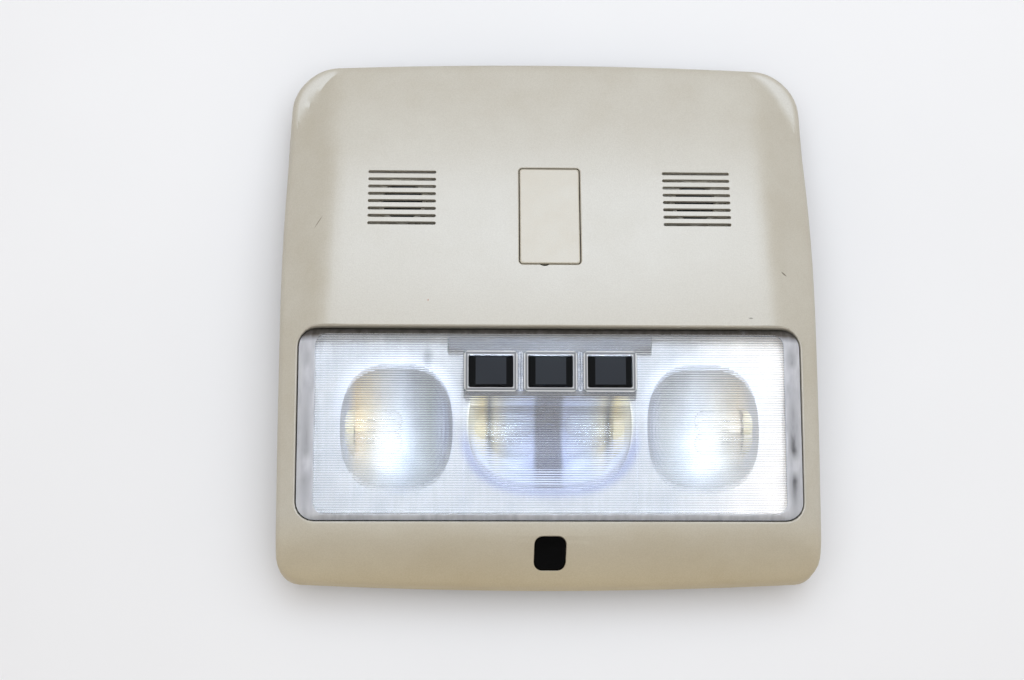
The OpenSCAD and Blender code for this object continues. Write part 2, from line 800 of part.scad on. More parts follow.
module lead_header() {
    color("#e9e6dc")
        translate([plug_x - plug_w / 2 - 0.5, header_front - header_l, plug_z - 0.5])
            cube([plug_w + 1, header_l, board_z - plug_z + 0.5]);
}

module lead_plug() {
    color("#f2efe6")
        difference() {
            translate([plug_x - plug_w / 2, header_front, plug_z])
                cube([plug_w, plug_front - header_front, plug_h]);
            for (i = [-1:1])
                translate([plug_x + i * 7 - 2.2, plug_front - 2, plug_z + plug_h - 1])
                    cube([4.4, 3, 2]);
        }
}

// Wedge-base bulb: glass with a round tip and a flat base that sits in its holder
module bulb(which) {
    color("#f3f1e8", 0.7)
        at_lamp(which) {
            translate([0, 0, -bulb_l + bulb_r])
                cylinder(h = bulb_l - bulb_r, r = bulb_r);
            translate([0, 0, -bulb_l + bulb_r])
                sphere(r = bulb_r);
            translate([-bulb_r + 0.2, -1.1, -0.1])
                cube([2 * bulb_r - 0.4, 2.2, bulb_base + 0.1]);
        }
}

module holder(which) {
    color("#e6d9b4")
        at_lamp(which)
            difference() {
                union() {
                    cylinder(h = holder_l, r = holder_r);
                    translate([0, 0, neck_end])
                        cylinder(h = flange_h, r = neck_r);
                }
                translate([-bulb_r, -1.3, -1])
                    cube([2 * bulb_r, 2.6, bulb_base + 1.3]);
            }
}

module holder_contacts() {
    color("#c8a24a")
        for (l = LAMPS)
            at_lamp(l)
                for (s = [-1, 1])
                    translate([s * 2.6 - 0.3, -2, holder_l])
                        cube([0.6, 4, contact_l]);
}

// Lamp housing: shallow wings under the side bowls and a deep block under the board
module housing() {
    inner_w = plate_w - 2 * housing_wall;
    inner_l = plate_l - 2 * housing_wall;
    color("#b9bcc0")
        difference() {
            union() {
                translate([0, opening_y, 0]) {
                    rounded_slab(plate_w, plate_l, 5, wing_z, plate_z - wing_z);
                    rounded_slab(2 * block_x, plate_l, 4, 0, wing_z + 1);
                    rounded_slab(flange_w, flange_l, 9, flange_z, flange_t);
                }
                at_ears()
                    translate([0, 0, flange_z])
                        cylinder(h = flange_t, r = ear_r);
            }
            translate([0, opening_y, 0]) {
                rounded_slab(inner_w, inner_l, 3, wing_z + housing_wall, face_z);
                rounded_slab(2 * block_x - 2 * housing_wall, inner_l, 2, housing_wall, face_z);
            }
            at_ears()
                translate([0, 0, flange_z - 1])
                    cylinder(h = flange_t + 2, r = ear_hole_r);
            translate([socket_x - socket_w / 2 - 0.5, socket_y - socket_l / 2 - 0.5, -1])
                cube([socket_w + 1, socket_l + 1, housing_wall + 2]);
            translate([plug_x - plug_w / 2 - 0.6, opening_y + plate_l / 2 - housing_wall - 1, plug_z - 0.6])
                cube([plug_w + 1.2, housing_wall + 2, plug_h + 1.2]);
            for (s = [-1, 1])
                for (i = [0:5])
                    translate([s * (side_bowl_at + 14 + i * 3) - 0.8, opening_y - 15, wing_z - 1])
                        cube([1.6, 30, housing_wall + 2]);
        }
    color("#b9bcc0")
        for (sx = [-1, 1])
            for (y = [board_rear + 3, board_front - 3])
                translate([sx * (board_x - board_post_in), y, housing_wall])
                    cylinder(h = board_z - housing_wall, r = board_post_r);
    color("#b9bcc0")
        for (s = [-1, 1])
            for (v = [-24, 0, 24])
                translate([s * (plate_w / 2 - housing_wall / 2) - 0.8, opening_y + v - 7, plate_z - 0.5])
                    cube([1.6, 14, 0.5]);
}

// Pan-head screw, head down, at the origin of its seat
module screw(shank_r, head_r, head_h, length) {
    difference() {
        union() {
            translate([0, 0, -head_h])
                cylinder(h = head_h, r = head_r);
            translate([0, 0, -0.1])
                cylinder(h = length + 0.1, r = shank_r);
        }
        for (a = [0, 90])
            rotate([0, 0, a])
                translate([-head_r * 0.6, -0.4, -head_h - 0.1])
                    cube([head_r * 1.2, 0.8, 1.1]);
    }
}

module housing_screws() {
    color("#c3c5c8")
        at_ears()
            translate([0, 0, flange_z])
                screw(screw_r, 2.8, 2, 7);
}

module sensor_body(s) {
    color("#e2dfd6")
        translate([s * grille_x, grille_y, 0]) {
            difference() {
                translate([-sensor_half, -12, sensor_base_z])
                    cube([2 * sensor_half, 24, sensor_base_t]);
                for (q = [-1, 1])
                    translate([q * sensor_post_x, 0, sensor_base_z - 1])
                        cylinder(h = sensor_base_t + 2, r = small_screw_r + 0.3);
            }
            translate([0, 0, sensor_top - 0.1])
                difference() {
                    cylinder(h = tube_top - sensor_top + 0.1, r = tube_r);
                    translate([0, 0, -1])
                        cylinder(h = 20, r = tube_r - tube_wall);
                }
        }
}

module sensor_element(s) {
    color("#2b2c2e")
        translate([s * grille_x, grille_y, sensor_top])
            cylinder(h = 6, r = tube_r - tube_wall - 0.3);
}

module sensor_screws() {
    color("#c3c5c8")
        for (s = [-1, 1])
            for (q = [-1, 1])
                translate([s * grille_x + q * sensor_post_x, grille_y, sensor_base_z])
                    screw(small_screw_r, 2.1, 1.6, 6);
}

// Dark window that follows the fall of the lower edge, with a flange behind its well
module dark_window() {
    foot = window_well_z - 1.4;
    color("#0c0c0e") {
        face_plug(window_w, window_l, window_r, window_y, 0.6, foot + 0.5, 0.6);
        translate([0, window_y, 0])
            rounded_slab(window_w + 2, window_l + 2, window_r + 1, foot, 1.2);
    }
}

module led_board() {
    color("#1f6b43")
        translate([-led_post_x - 3.5, window_y - 5, led_z])
            cube([2 * led_post_x + 7, 10, led_t]);
}

module led() {
    color("#e9dcae")
        translate([0, window_y, led_z + led_t])
            cylinder(h = window_well_z - 1.4 - led_z - led_t - 0.3, r = 2.5);
}

// Spring-steel clip pushed over a tower: a U with a barb on each side
module clip(sx, y) {
    gap = tower_t / 2 + clip_gap;
    out = gap + clip_t;
    foot = tower_z - 0.2 - clip_t;
    half = [[out, foot], [out, 2.4], [gap + 3.4, 7.2], [gap + 2.2, 10.2], [gap + 1.7, 9.9], [gap + 2.7, 7.3],
        [out, 4.3], [out, foot + clip_h], [gap, foot + clip_h], [gap, foot + clip_t]];
    color("#8d9298")
        translate([sx * tower_x + clip_w / 2, y, 0])
            rotate([90, 0, -90])
                linear_extrude(clip_w)
                    polygon(concat(half, [for (p = reversed(half)) [-p.x, p.y]]));
}

// Routes of the leads, chosen by hand
LEAD_R = 1.3;
LEFT_LEAD = [[-62, 37, 23.4], [-61, 31, 23.2], [-57, 25, 23], [-51, 20, 22.6], [-45, 16, 22], [-39, 13, 21.4],
    [-32, 10.8, 20.6], [-26.4, 8, 19.4], [-23, 3, 18], [-22, -2.2, 17.5]];
RIGHT_LEAD = [[62, 37, 23.4], [61, 31, 23.2], [56, 24, 23], [48, 18, 22.6], [38, 14, 22.2], [26, 12, 22],
    [12, 12, 22], [0, 12, 21.6], [-9, 10, 20.6], [-13.6, 6, 19.2], [-14.8, 2, 18], [-15, -2.2, 17.5]];
LED_LEAD = [[-14.8, -99, 18.6], [-20, -98.4, 18.6], [-30, -96.6, 18.8], [-45, -95, 19.2], [-60, -94, 19.6],
    [-75, -93.4, 20], [-88, -91.6, 20], [-98, -88, 20], [-104, -81, 20], [-105.6, -72, 20], [-105.8, -60, 20],
    [-105.8, -45, 20], [-105.8, -30, 20], [-105.2, -18, 20], [-102, -8, 20], [-95, -2, 20], [-84, 1.6, 20],
    [-70, 3.6, 20], [-56, 4.6, 20], [-44, 5.2, 19.6], [-36, 5, 18.8], [-31.4, 3.4, 18.1], [-29.4, 0.6, 17.7],
    [-29, -2.2, 17.5]];

function heading(route, i) =
    let (a = route[max(i - 1, 0)], b = route[min(i + 1, len(route) - 1)])
    (b - a) / norm(b - a);

// Tube of 8 sides swept along a route
module lead(route) {
    sides = 8;
    rings = [for (i = [0:len(route) - 1])
        let (t = heading(route, i), u0 = cross(t, [0, 0, 1]), u = u0 / norm(u0), v = cross(u, t))
        [for (k = [0:sides - 1]) route[i] + LEAD_R * (cos(k * 45) * u + sin(k * 45) * v)]];
    n = len(rings);
    color("#2a2a2c")
        polyhedron(
            points = [for (ring = rings) for (p = ring) p],
            faces = concat(
                [[for (k = [sides - 1:-1:0]) k]],
                [for (i = [0:n - 2]) for (k = [0:sides - 1])
                    let (q = (k + 1) % sides, a = i * sides)
                    each [[a + k, a + q, a + sides + k], [a + q, a + sides + q, a + sides + k]]],
                [[for (k = [0:sides - 1]) (n - 1) * sides + k]]),
            convexity = 4);
}

bezel();
blanking_plate();
lens();
reflector();
key_guide();
key(-1);  // key_left
key(0);  // key_centre
key(1);  // key_right
plunger(-1);  // plunger_left
plunger(0);  // plunger_centre
plunger(1);  // plunger_right
switch(-1);  // switch_left
switch(0);  // switch_centre
switch(1);  // switch_right
circuit_board();
harness_socket();
socket_pins();
lead_header();
lead_plug();
bulb("reading_left");  // reading_bulb_left
bulb("reading_right");  // reading_bulb_right
bulb("courtesy_left");  // courtesy_bulb_left
bulb("courtesy_right");  // courtesy_bulb_right
holder("reading_left");  // reading_holder_left
holder("reading_right");  // reading_holder_right
holder("courtesy_left");  // courtesy_holder_left
holder("courtesy_right");  // courtesy_holder_right
holder_contacts();
housing();
housing_screws();
sensor_body(-1);  // sensor_body_left
sensor_body(1);  // sensor_body_right
sensor_element(-1);  // sensor_element_left
sensor_element(1);  // sensor_element_right
sensor_screws();
dark_window();
led_board();
led();
clip(-1, tower_front_y);  // clip_front_left
clip(1, tower_front_y);  // clip_front_right
clip(-1, tower_rear_y);  // clip_rear_left
clip(1, tower_rear_y);  // clip_rear_right
lead(LEFT_LEAD);  // sensor_lead_left
lead(RIGHT_LEAD);  // sensor_lead_right
lead(LED_LEAD);  // led_lead
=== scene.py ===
"""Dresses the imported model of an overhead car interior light, lying face up on a pale table.

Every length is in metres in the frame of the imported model: +Z out of the lens, +Y to the grilles.
"""

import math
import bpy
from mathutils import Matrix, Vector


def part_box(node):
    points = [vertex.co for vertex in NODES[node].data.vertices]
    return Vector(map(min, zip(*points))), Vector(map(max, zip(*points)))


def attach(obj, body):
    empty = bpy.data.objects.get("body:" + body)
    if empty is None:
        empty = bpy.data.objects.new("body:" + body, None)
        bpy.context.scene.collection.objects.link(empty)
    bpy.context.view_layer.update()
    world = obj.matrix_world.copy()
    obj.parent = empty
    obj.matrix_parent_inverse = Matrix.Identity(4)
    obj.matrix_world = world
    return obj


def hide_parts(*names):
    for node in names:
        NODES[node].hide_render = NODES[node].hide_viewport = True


bl_info = {
    "name": "Car interior light",
    "version": (1, 0, 0),
    "blender": (4, 5, 0),
    "location": "View3D > Sidebar > Lamp",
    "description": "Dresses the packed lamp: bezel, lens, bowls, keys, sensors, housing and leads",
    "category": "Object",
}

import bpy
from bpy.props import FloatProperty, FloatVectorProperty, IntProperty, PointerProperty, StringProperty
from mathutils import Matrix, Vector

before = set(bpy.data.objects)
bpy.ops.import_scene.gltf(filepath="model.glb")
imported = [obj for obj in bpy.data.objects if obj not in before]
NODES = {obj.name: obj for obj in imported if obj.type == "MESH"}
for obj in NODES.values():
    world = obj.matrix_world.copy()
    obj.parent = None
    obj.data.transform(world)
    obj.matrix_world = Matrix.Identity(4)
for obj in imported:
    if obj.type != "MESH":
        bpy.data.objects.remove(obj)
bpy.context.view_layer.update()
MM = 0.001
SIDES = ("left", "right")
KEYS = ("left", "centre", "right")
LAMPS = ("reading", "courtesy")
# Middle and half size of a side bowl, on the right, and of the middle bowl
SIDE_BOWL = (63.4 * MM, -48.0 * MM, 23.2 * MM, 25.9 * MM)
MID_BOWL = (0.0, -46.6 * MM, 33.8 * MM, 26.8 * MM)
# Two points or planes closer than this count as one
NEAR = 0.01 * MM
# Levels of the lens: its top, a level between it and the collar tops, its underside, and the
# crests of the flutes
LENS_TOP = 44.0 * MM
COLLAR_LEVEL = 44.5 * MM
LENS_UNDER = 41.8 * MM
FLUTE_CREST = 41.45 * MM
# A front pilot hole: place, radius, and the lowest and highest level of the web that closes it
PILOT = (88.0 * MM, -92.1 * MM, 1.59 * MM, 38.8 * MM, 39.48 * MM)
# A point just under the face over that hole, and the way the face looks there
FACE_POINT = (0.0, -93.7 * MM, 38.97 * MM)
FACE_FALL = (0.0, -0.71, 1.0)
# Side of the table
TABLE = 6.0
# Half width and half length of a key window, and the wall of its collar
COLLAR = (9.3 * MM, 6.8 * MM, 1.6 * MM)

# A face of a key that leans more than this, along X or along Y, is one of its falling sides
KEY_LEAN = (0.05, 0.3)


# Sizes and colours that a user would change


class BezelSettings(bpy.types.PropertyGroup):
    colour: StringProperty(name="Colour", description="Moulded colour of the bezel, sRGB hex",
                           default="C5C0B4")
    cover_colour: StringProperty(name="Cover colour", description="Colour of the blanking plate, sRGB hex",
                                 default="C4BDAE")
    grain: FloatProperty(name="Grain", description="Width of one pebble of the grain", default=0.5 * MM,
                         subtype="DISTANCE", unit="LENGTH")
    smooth_angle: FloatProperty(name="Smooth angle",
                                description="Edges flatter than this are shaded smooth",
                                default=math.radians(24), subtype="ANGLE", unit="ROTATION")


class LensSettings(bpy.types.PropertyGroup):
    flute_share: FloatProperty(name="Flute depth",
                               description="Share of the packed flute depth that is drawn", default=0.6,
                               min=0.05, max=1.0, subtype="FACTOR")
    rib_width: FloatProperty(name="Rib width", description="Width of a rib between the collars",
                             default=0.4 * MM, subtype="DISTANCE", unit="LENGTH")
    rib_height: FloatProperty(name="Rib height", description="Height of a rib over the lens",
                              default=0.6 * MM, subtype="DISTANCE", unit="LENGTH")
    rib_space: FloatProperty(name="Rib space", description="Half of the distance between two ribs",
                             default=0.6 * MM, subtype="DISTANCE", unit="LENGTH")


class BulbSettings(bpy.types.PropertyGroup):
    wire: FloatProperty(name="Wire", description="Radius of the filament wire", default=0.09 * MM,
                        subtype="DISTANCE", unit="LENGTH")
    coil: FloatProperty(name="Coil", description="Radius of the wound filament", default=0.45 * MM,
                        subtype="DISTANCE", unit="LENGTH")
    length: FloatProperty(name="Length", description="Length of the wound filament", default=3.5 * MM,
                          subtype="DISTANCE", unit="LENGTH")
    turns: IntProperty(name="Turns", description="Turns of the filament", default=8)


class KeySettings(bpy.types.PropertyGroup):
    colour: StringProperty(name="Colour", description="Colour of the keys, sRGB hex", default="181A20")


class StageSettings(bpy.types.PropertyGroup):
    camera_place: FloatVectorProperty(name="Camera", description="Place of the camera",
                                      default=(-0.036, -0.1219, 0.7376), subtype="XYZ", unit="LENGTH")
    camera_tilt: FloatProperty(name="Tilt", description="Lean of the view from straight down, towards +Y",
                               default=math.radians(9.0), subtype="ANGLE", unit="ROTATION")
    camera_turn: FloatProperty(name="Turn", description="Turn of the view towards +X",
                               default=math.radians(1.64), subtype="ANGLE", unit="ROTATION")
    camera_roll: FloatProperty(name="Roll", description="Clockwise turn of the picture",
                               default=math.radians(0.25), subtype="ANGLE", unit="ROTATION")
    camera_lens: FloatProperty(name="Lens", description="Focal length on a 36 mm sensor", default=59.77,
                               subtype="DISTANCE_CAMERA", unit="CAMERA")
    sky: FloatProperty(name="Sky", description="Strength of the even light from all round", default=0.55)
    sky_colour: StringProperty(name="Sky colour", description="Colour of the even light, sRGB hex",
                               default="FFF5E6")
    softbox: FloatProperty(name="Softbox", description="Power of the overhead softbox", default=12.0,
                           subtype="POWER", unit="POWER")
    softbox_size: FloatProperty(name="Softbox size", description="Side of the softbox", default=1.6,
                                subtype="DISTANCE", unit="LENGTH")
    softbox_place: FloatVectorProperty(name="Softbox place", description="Middle of the softbox",
                                       default=(0.06, 0.22, 1.2), subtype="XYZ", unit="LENGTH")
    sheen: FloatProperty(name="Sheen", description="Power of the strip that only gives the sheen",
                         default=34.0, subtype="POWER", unit="POWER")
    sheen_size: FloatProperty(name="Sheen size", description="Side of the strip", default=0.46,
                              subtype="DISTANCE", unit="LENGTH")
    sheen_place: FloatVectorProperty(name="Sheen place", description="Middle of the strip",
                                     default=(0.07, 0.6, 1.2), subtype="XYZ", unit="LENGTH")
    softbox_colour: StringProperty(name="Softbox colour", description="Colour of the softbox, sRGB hex",
                                   default="EAF4FF")
    sheen_colour: StringProperty(name="Sheen colour", description="Colour of the strip, sRGB hex",
                                 default="DDECFF")


# Tools for colour, nodes and meshes


def tone(code):
    """Linear colour with alpha 1 from an sRGB hex code."""
    parts = [int(code[i:i + 2], 16) / 255 for i in (0, 2, 4)]
    return tuple(c / 12.92 if c <= 0.04045 else ((c + 0.055) / 1.055) ** 2.4 for c in parts) + (1.0,)


def add(tree, kind, inputs=(), stops=None, **settings):
    """Adds a node. inputs, in order or by name, are plain values or the nodes and sockets that feed it."""
    made = tree.nodes.new("ShaderNode" + kind)
    for key, value in settings.items():
        setattr(made, key, value)
    if stops:
        line = made.color_ramp.elements
        while len(line) < len(stops):
            line.new(0.5)
        for element, (at, code) in zip(line, stops):
            element.position = at
            element.color = tone(code)
    for key, value in inputs.items() if isinstance(inputs, dict) else enumerate(inputs):
        if isinstance(value, bpy.types.Node):
            value = value.outputs[0]
        if isinstance(value, bpy.types.NodeSocket):
            tree.links.new(value, made.inputs[key])
        else:
            made.inputs[key].default_value = value
    return made


def start_material(name, values):
    """A material with a Principled shader, and the Object coordinates that its patterns read."""
    made = bpy.data.materials.new(name)
    made.use_nodes = True
    tree = made.node_tree
    tree.nodes.clear()
    shader = add(tree, "BsdfPrincipled", values)
    out = add(tree, "OutputMaterial", {"Surface": shader})
    return made, tree, shader, out, add(tree, "TexCoord").outputs["Object"]


def feed(tree, shader, **inputs):
    """Links nodes to sockets of a shader, named with underscores for spaces."""
    for key, value in inputs.items():
        tree.links.new(value.outputs[0], shader.inputs[key.replace("_", " ")])


def moulded(name, colour, shade, rough, grain, depth, ior=1.53, gloss=0.5):
    """Moulded plastic: soft clouds from colour to shade, and a pebbled grain of a width and depth."""
    made, tree, shader, _, place = start_material(name, {"IOR": ior, "Specular IOR Level": gloss})
    clouds = add(tree, "TexNoise",
                 {"Vector": place, "Scale": 1 / (18 * MM), "Detail": 3.0, "Roughness": 0.6})
    pebbles = add(tree, "TexNoise", {"Vector": place, "Scale": 1 / grain, "Detail": 2.0, "Roughness": 0.55})
    both = add(tree, "Math", [clouds, pebbles], operation="ADD")
    half = add(tree, "Math", [both, 0.5], operation="MULTIPLY")
    feed(tree, shader,
         Base_Color=add(tree, "ValToRGB", [half], [(0.36, shade), (0.56, colour)]),
         Roughness=add(tree, "MapRange", [both, 0.7, 1.3, rough - 0.06, rough + 0.06]),
         Normal=add(tree, "Bump", {"Height": pebbles, "Distance": depth}))
    return made


def drawn_metal(name, colour, shade, rough, stretch):
    """Bare or plated metal with drawn streaks along the axes where stretch is small."""
    made, tree, shader, _, place = start_material(name, {"Metallic": 1.0})
    lined = add(tree, "Mapping", {"Vector": place, "Scale": stretch})
    streaks = add(tree, "TexNoise", {"Vector": lined, "Scale": 1.0, "Detail": 4.0, "Roughness": 0.6})
    feed(tree, shader,
         Base_Color=add(tree, "ValToRGB", [streaks], [(0.3, shade), (0.7, colour)]),
         Roughness=add(tree, "MapRange", [streaks, 0.2, 0.8, rough - 0.08, rough + 0.1]),
         Normal=add(tree, "Bump", {"Height": streaks, "Strength": 0.4, "Distance": 0.02 * MM}))
    return made


def only(*objects):
    """Leaves just these objects selected, the first of them active."""
    bpy.ops.object.select_all(action="DESELECT")
    for thing in objects:
        thing.select_set(True)
    bpy.context.view_layer.objects.active = objects[0]


def edit(thing, step):
    """Runs step in edit mode on thing, with its mesh selected all over."""
    only(thing)
    bpy.ops.object.mode_set(mode="EDIT")
    bpy.ops.mesh.select_all(action="SELECT")
    step()
    bpy.ops.object.mode_set(mode="OBJECT")


def edit_edges(thing, wanted, step):
    """Runs step in edit mode on the edges of thing that wanted accepts."""
    only(thing)
    mesh = thing.data
    for group in (mesh.vertices, mesh.edges, mesh.polygons):
        group.foreach_set("select", [False] * len(group))
    for line in mesh.edges:
        line.select = wanted(line)
    bpy.ops.object.mode_set(mode="EDIT")
    bpy.ops.mesh.select_mode(type="EDGE")
    step()
    bpy.ops.object.mode_set(mode="OBJECT")


def apply_modifier(thing, kind, **settings):
    """Adds a modifier, sets it and applies it."""
    only(thing)
    made = thing.modifiers.new(kind.title(), kind)
    for key, value in settings.items():
        setattr(made, key, value)
    bpy.ops.object.modifier_apply(modifier=made.name)


def smooth(thing, degrees=30):
    """Shades thing smooth but for the edges that are sharper than this."""
    only(thing)
    bpy.ops.object.shade_smooth_by_angle(angle=math.radians(degrees))


def settle(thing):
    """Puts the object's place into its mesh and leaves the object at the origin."""
    only(thing)
    bpy.ops.object.transform_apply(location=True, rotation=True, scale=True)


def carried(node, name, finish, slot, degrees=30, edge=0.0, body="lamp", turned=None):
    """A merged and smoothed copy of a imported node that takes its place.

    edge rounds its edges, and turned changes its mesh.
    """
    piece = bpy.data.objects.new(name, NODES[node].data.copy())
    bpy.context.scene.collection.objects.link(piece)
    piece.data.name = name
    piece.data.materials.clear()
    edit(piece, lambda: bpy.ops.mesh.remove_doubles(threshold=0.002 * MM))
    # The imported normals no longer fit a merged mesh
    if piece.data.has_custom_normals:
        bpy.ops.mesh.customdata_custom_splitnormals_clear()
    if edge:
        edit(piece, lambda: bpy.ops.mesh.dissolve_limited(angle_limit=math.radians(1.0)))
        apply_modifier(piece, "BEVEL", width=edge, segments=2, limit_method="ANGLE",
                       angle_limit=math.radians(50))
    if turned:
        turned(piece)
    smooth(piece, degrees)
    return dress(piece, finish, slot, body, node)


def dress(piece, finish, slot, body, *nodes):
    """Gives a finished piece its material and body, and hides the nodes that it stands for. slot is not
    used.
    """
    if finish is not None:
        piece.data.materials.append(finish)
    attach(piece, body)
    if nodes:
        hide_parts(*nodes)
    return piece


# Materials of the pieces that the photograph shows best


def mark(tree, place, centre, half, turn, soft=0.3):
    """1 inside an oval mark seen from above, and 0 outside it."""
    moved = add(tree, "VectorMath", [place, (*centre, 0)], operation="SUBTRACT")
    turned = add(tree, "Mapping", {"Vector": moved, "Rotation": (0, 0, -turn)})
    sized = add(tree, "VectorMath", [turned, (1 / half[0], 1 / half[1], 0)], operation="MULTIPLY")
    length = add(tree, "VectorMath", [sized], operation="LENGTH").outputs["Value"]
    return add(tree, "MapRange", [length, 1 - soft, 1 + soft, 1.0, 0.0])


def oval(tree, along, across, half, power):
    """Distance from the middle of a bowl: 0 there and 1 on its rim, which is a rounded square."""
    parts = []
    for value, reach in zip((along, across), half):
        share = add(tree, "Math", [add(tree, "Math", [value], operation="ABSOLUTE"), reach],
                    operation="DIVIDE")
        parts.append(add(tree, "Math", [share, power], operation="POWER"))
    return add(tree, "Math", [add(tree, "Math", parts, operation="ADD"), 1 / power], operation="POWER")


def bezel_abs(colour, grain):
    """ABS, moulded with a fine leather-like grain: soft and matt, toned faintly with its grain, and painted
    with warm shade at the front edge.
    """
    made, tree, shader, _, place = start_material("bezel_grained_abs", {"IOR": 1.53})
    pebbles = add(tree, "TexVoronoi", {"Vector": place, "Scale": 1 / grain}, feature="SMOOTH_F1")
    fine = add(tree, "TexNoise", {"Vector": place, "Scale": 1 / (0.35 * grain), "Detail": 2.0})
    clouds = add(tree, "TexNoise",
                 {"Vector": place, "Scale": 1 / (30 * MM), "Detail": 4.0, "Roughness": 0.65})
    height = add(tree, "Math", [pebbles, fine], operation="ADD")
    base = add(tree, "ValToRGB", [clouds], [(0.3, "C1BBAD"), (0.5, colour), (0.75, "CAC6BB")])
    # A faint tone that follows the height of the grain
    grain_tone = add(tree, "ValToRGB", [add(tree, "MapRange", [height, 0.0, 1.5])],
               [(0.25, "FFFFFF"), (0.75, "F2F1EF")])
    last = add(tree, "MixRGB", [1.0, base, grain_tone], blend_type="MULTIPLY")
    # Painted warm shade: the front edge is tinted warmer and a little darker, for the warm light bounced up
    # from the table
    parts = add(tree, "SeparateXYZ", [place])
    painted_warm_shade = add(tree, "ValToRGB", [add(tree, "MapRange", [parts.outputs["Y"], -112 * MM, -84 * MM])],
               [(0.0, "FBEFD4"), (1.0, "FFFFFF")])
    last = add(tree, "MixRGB", [1.0, last, painted_warm_shade], blend_type="MULTIPLY")
    # Scuffs and specks: dark rubbed marks, each at its place on the face
    for centre, half, turn, hue in BEZEL_MARKS:
        last = add(tree, "MixRGB", [mark(tree, place, centre, half, turn), last, tone(hue)])
    feed(tree, shader, Base_Color=last,
         Roughness=add(tree, "MapRange", [clouds, 0.3, 0.7, 0.48, 0.56]),
         Normal=add(tree, "Bump", {"Height": height, "Strength": 0.5, "Distance": 0.05 * MM}))
    return made


BEZEL_MARKS = (
    ((-96.8 * MM, 38.2 * MM), (2.7 * MM, 0.18 * MM), math.radians(56), "83796A"),
    ((97.9 * MM, 16.5 * MM), (1.3 * MM, 0.3 * MM), math.radians(-35), "6B6355"),
    ((83.1 * MM, -2.9 * MM), (0.8 * MM, 0.3 * MM), 0.0, "7C7464"),
    ((-50.6 * MM, 4.2 * MM), (0.3 * MM, 0.4 * MM), 0.0, "A97F63"),
)


def lens_acrylic(crest, pitch):
    """Clear acrylic, moulded: it shows the bowls through fine flutes under a cool, slightly milky top, and
    the light and dark lines of the flutes are painted into it.
    """
    made, tree, shader, out, place = start_material("lens_clear_acrylic", {
        "IOR": 1.49, "Transmission Weight": 0.78, "Roughness": 0.05})
    haze = add(tree, "TexNoise", {"Vector": place, "Scale": 1 / (9 * MM), "Detail": 3.0})
    # Painted light and shade: a light and a dark line for each flute, counted from the first crest, mixed
    # with soft haze
    height = add(tree, "SeparateXYZ", [place]).outputs["Y"]
    turns = add(tree, "Math", [add(tree, "Math", [height, crest], operation="SUBTRACT"), math.tau / pitch],
                operation="MULTIPLY")
    lines = add(tree, "Math", [turns], operation="COSINE")
    painted_flute_lines_and_haze = add(tree, "Math", [add(tree, "Math", [lines, 0.6], operation="MULTIPLY"), haze],
                operation="ADD")
    feed(tree, shader, Base_Color=add(tree, "ValToRGB", [painted_flute_lines_and_haze], [(0.05, "C2C5CE"), (0.95, "FFFFFF")]))
    shine_through(tree, shader, out)
    return made


def lens_under_acrylic():
    """The flutes and inner walls of the same acrylic: polished, so they only bend what is behind."""
    made, tree, shader, out, place = start_material("lens_polished_acrylic", {
        "IOR": 1.49, "Transmission Weight": 1.0, "Roughness": 0.07})
    haze = add(tree, "TexNoise", {"Vector": place, "Scale": 1 / (9 * MM), "Detail": 3.0})
    feed(tree, shader, Base_Color=add(tree, "ValToRGB", [haze], [(0.2, "EEF2FA"), (0.8, "FAFCFF")]))
    shine_through(tree, shader, out)
    return made


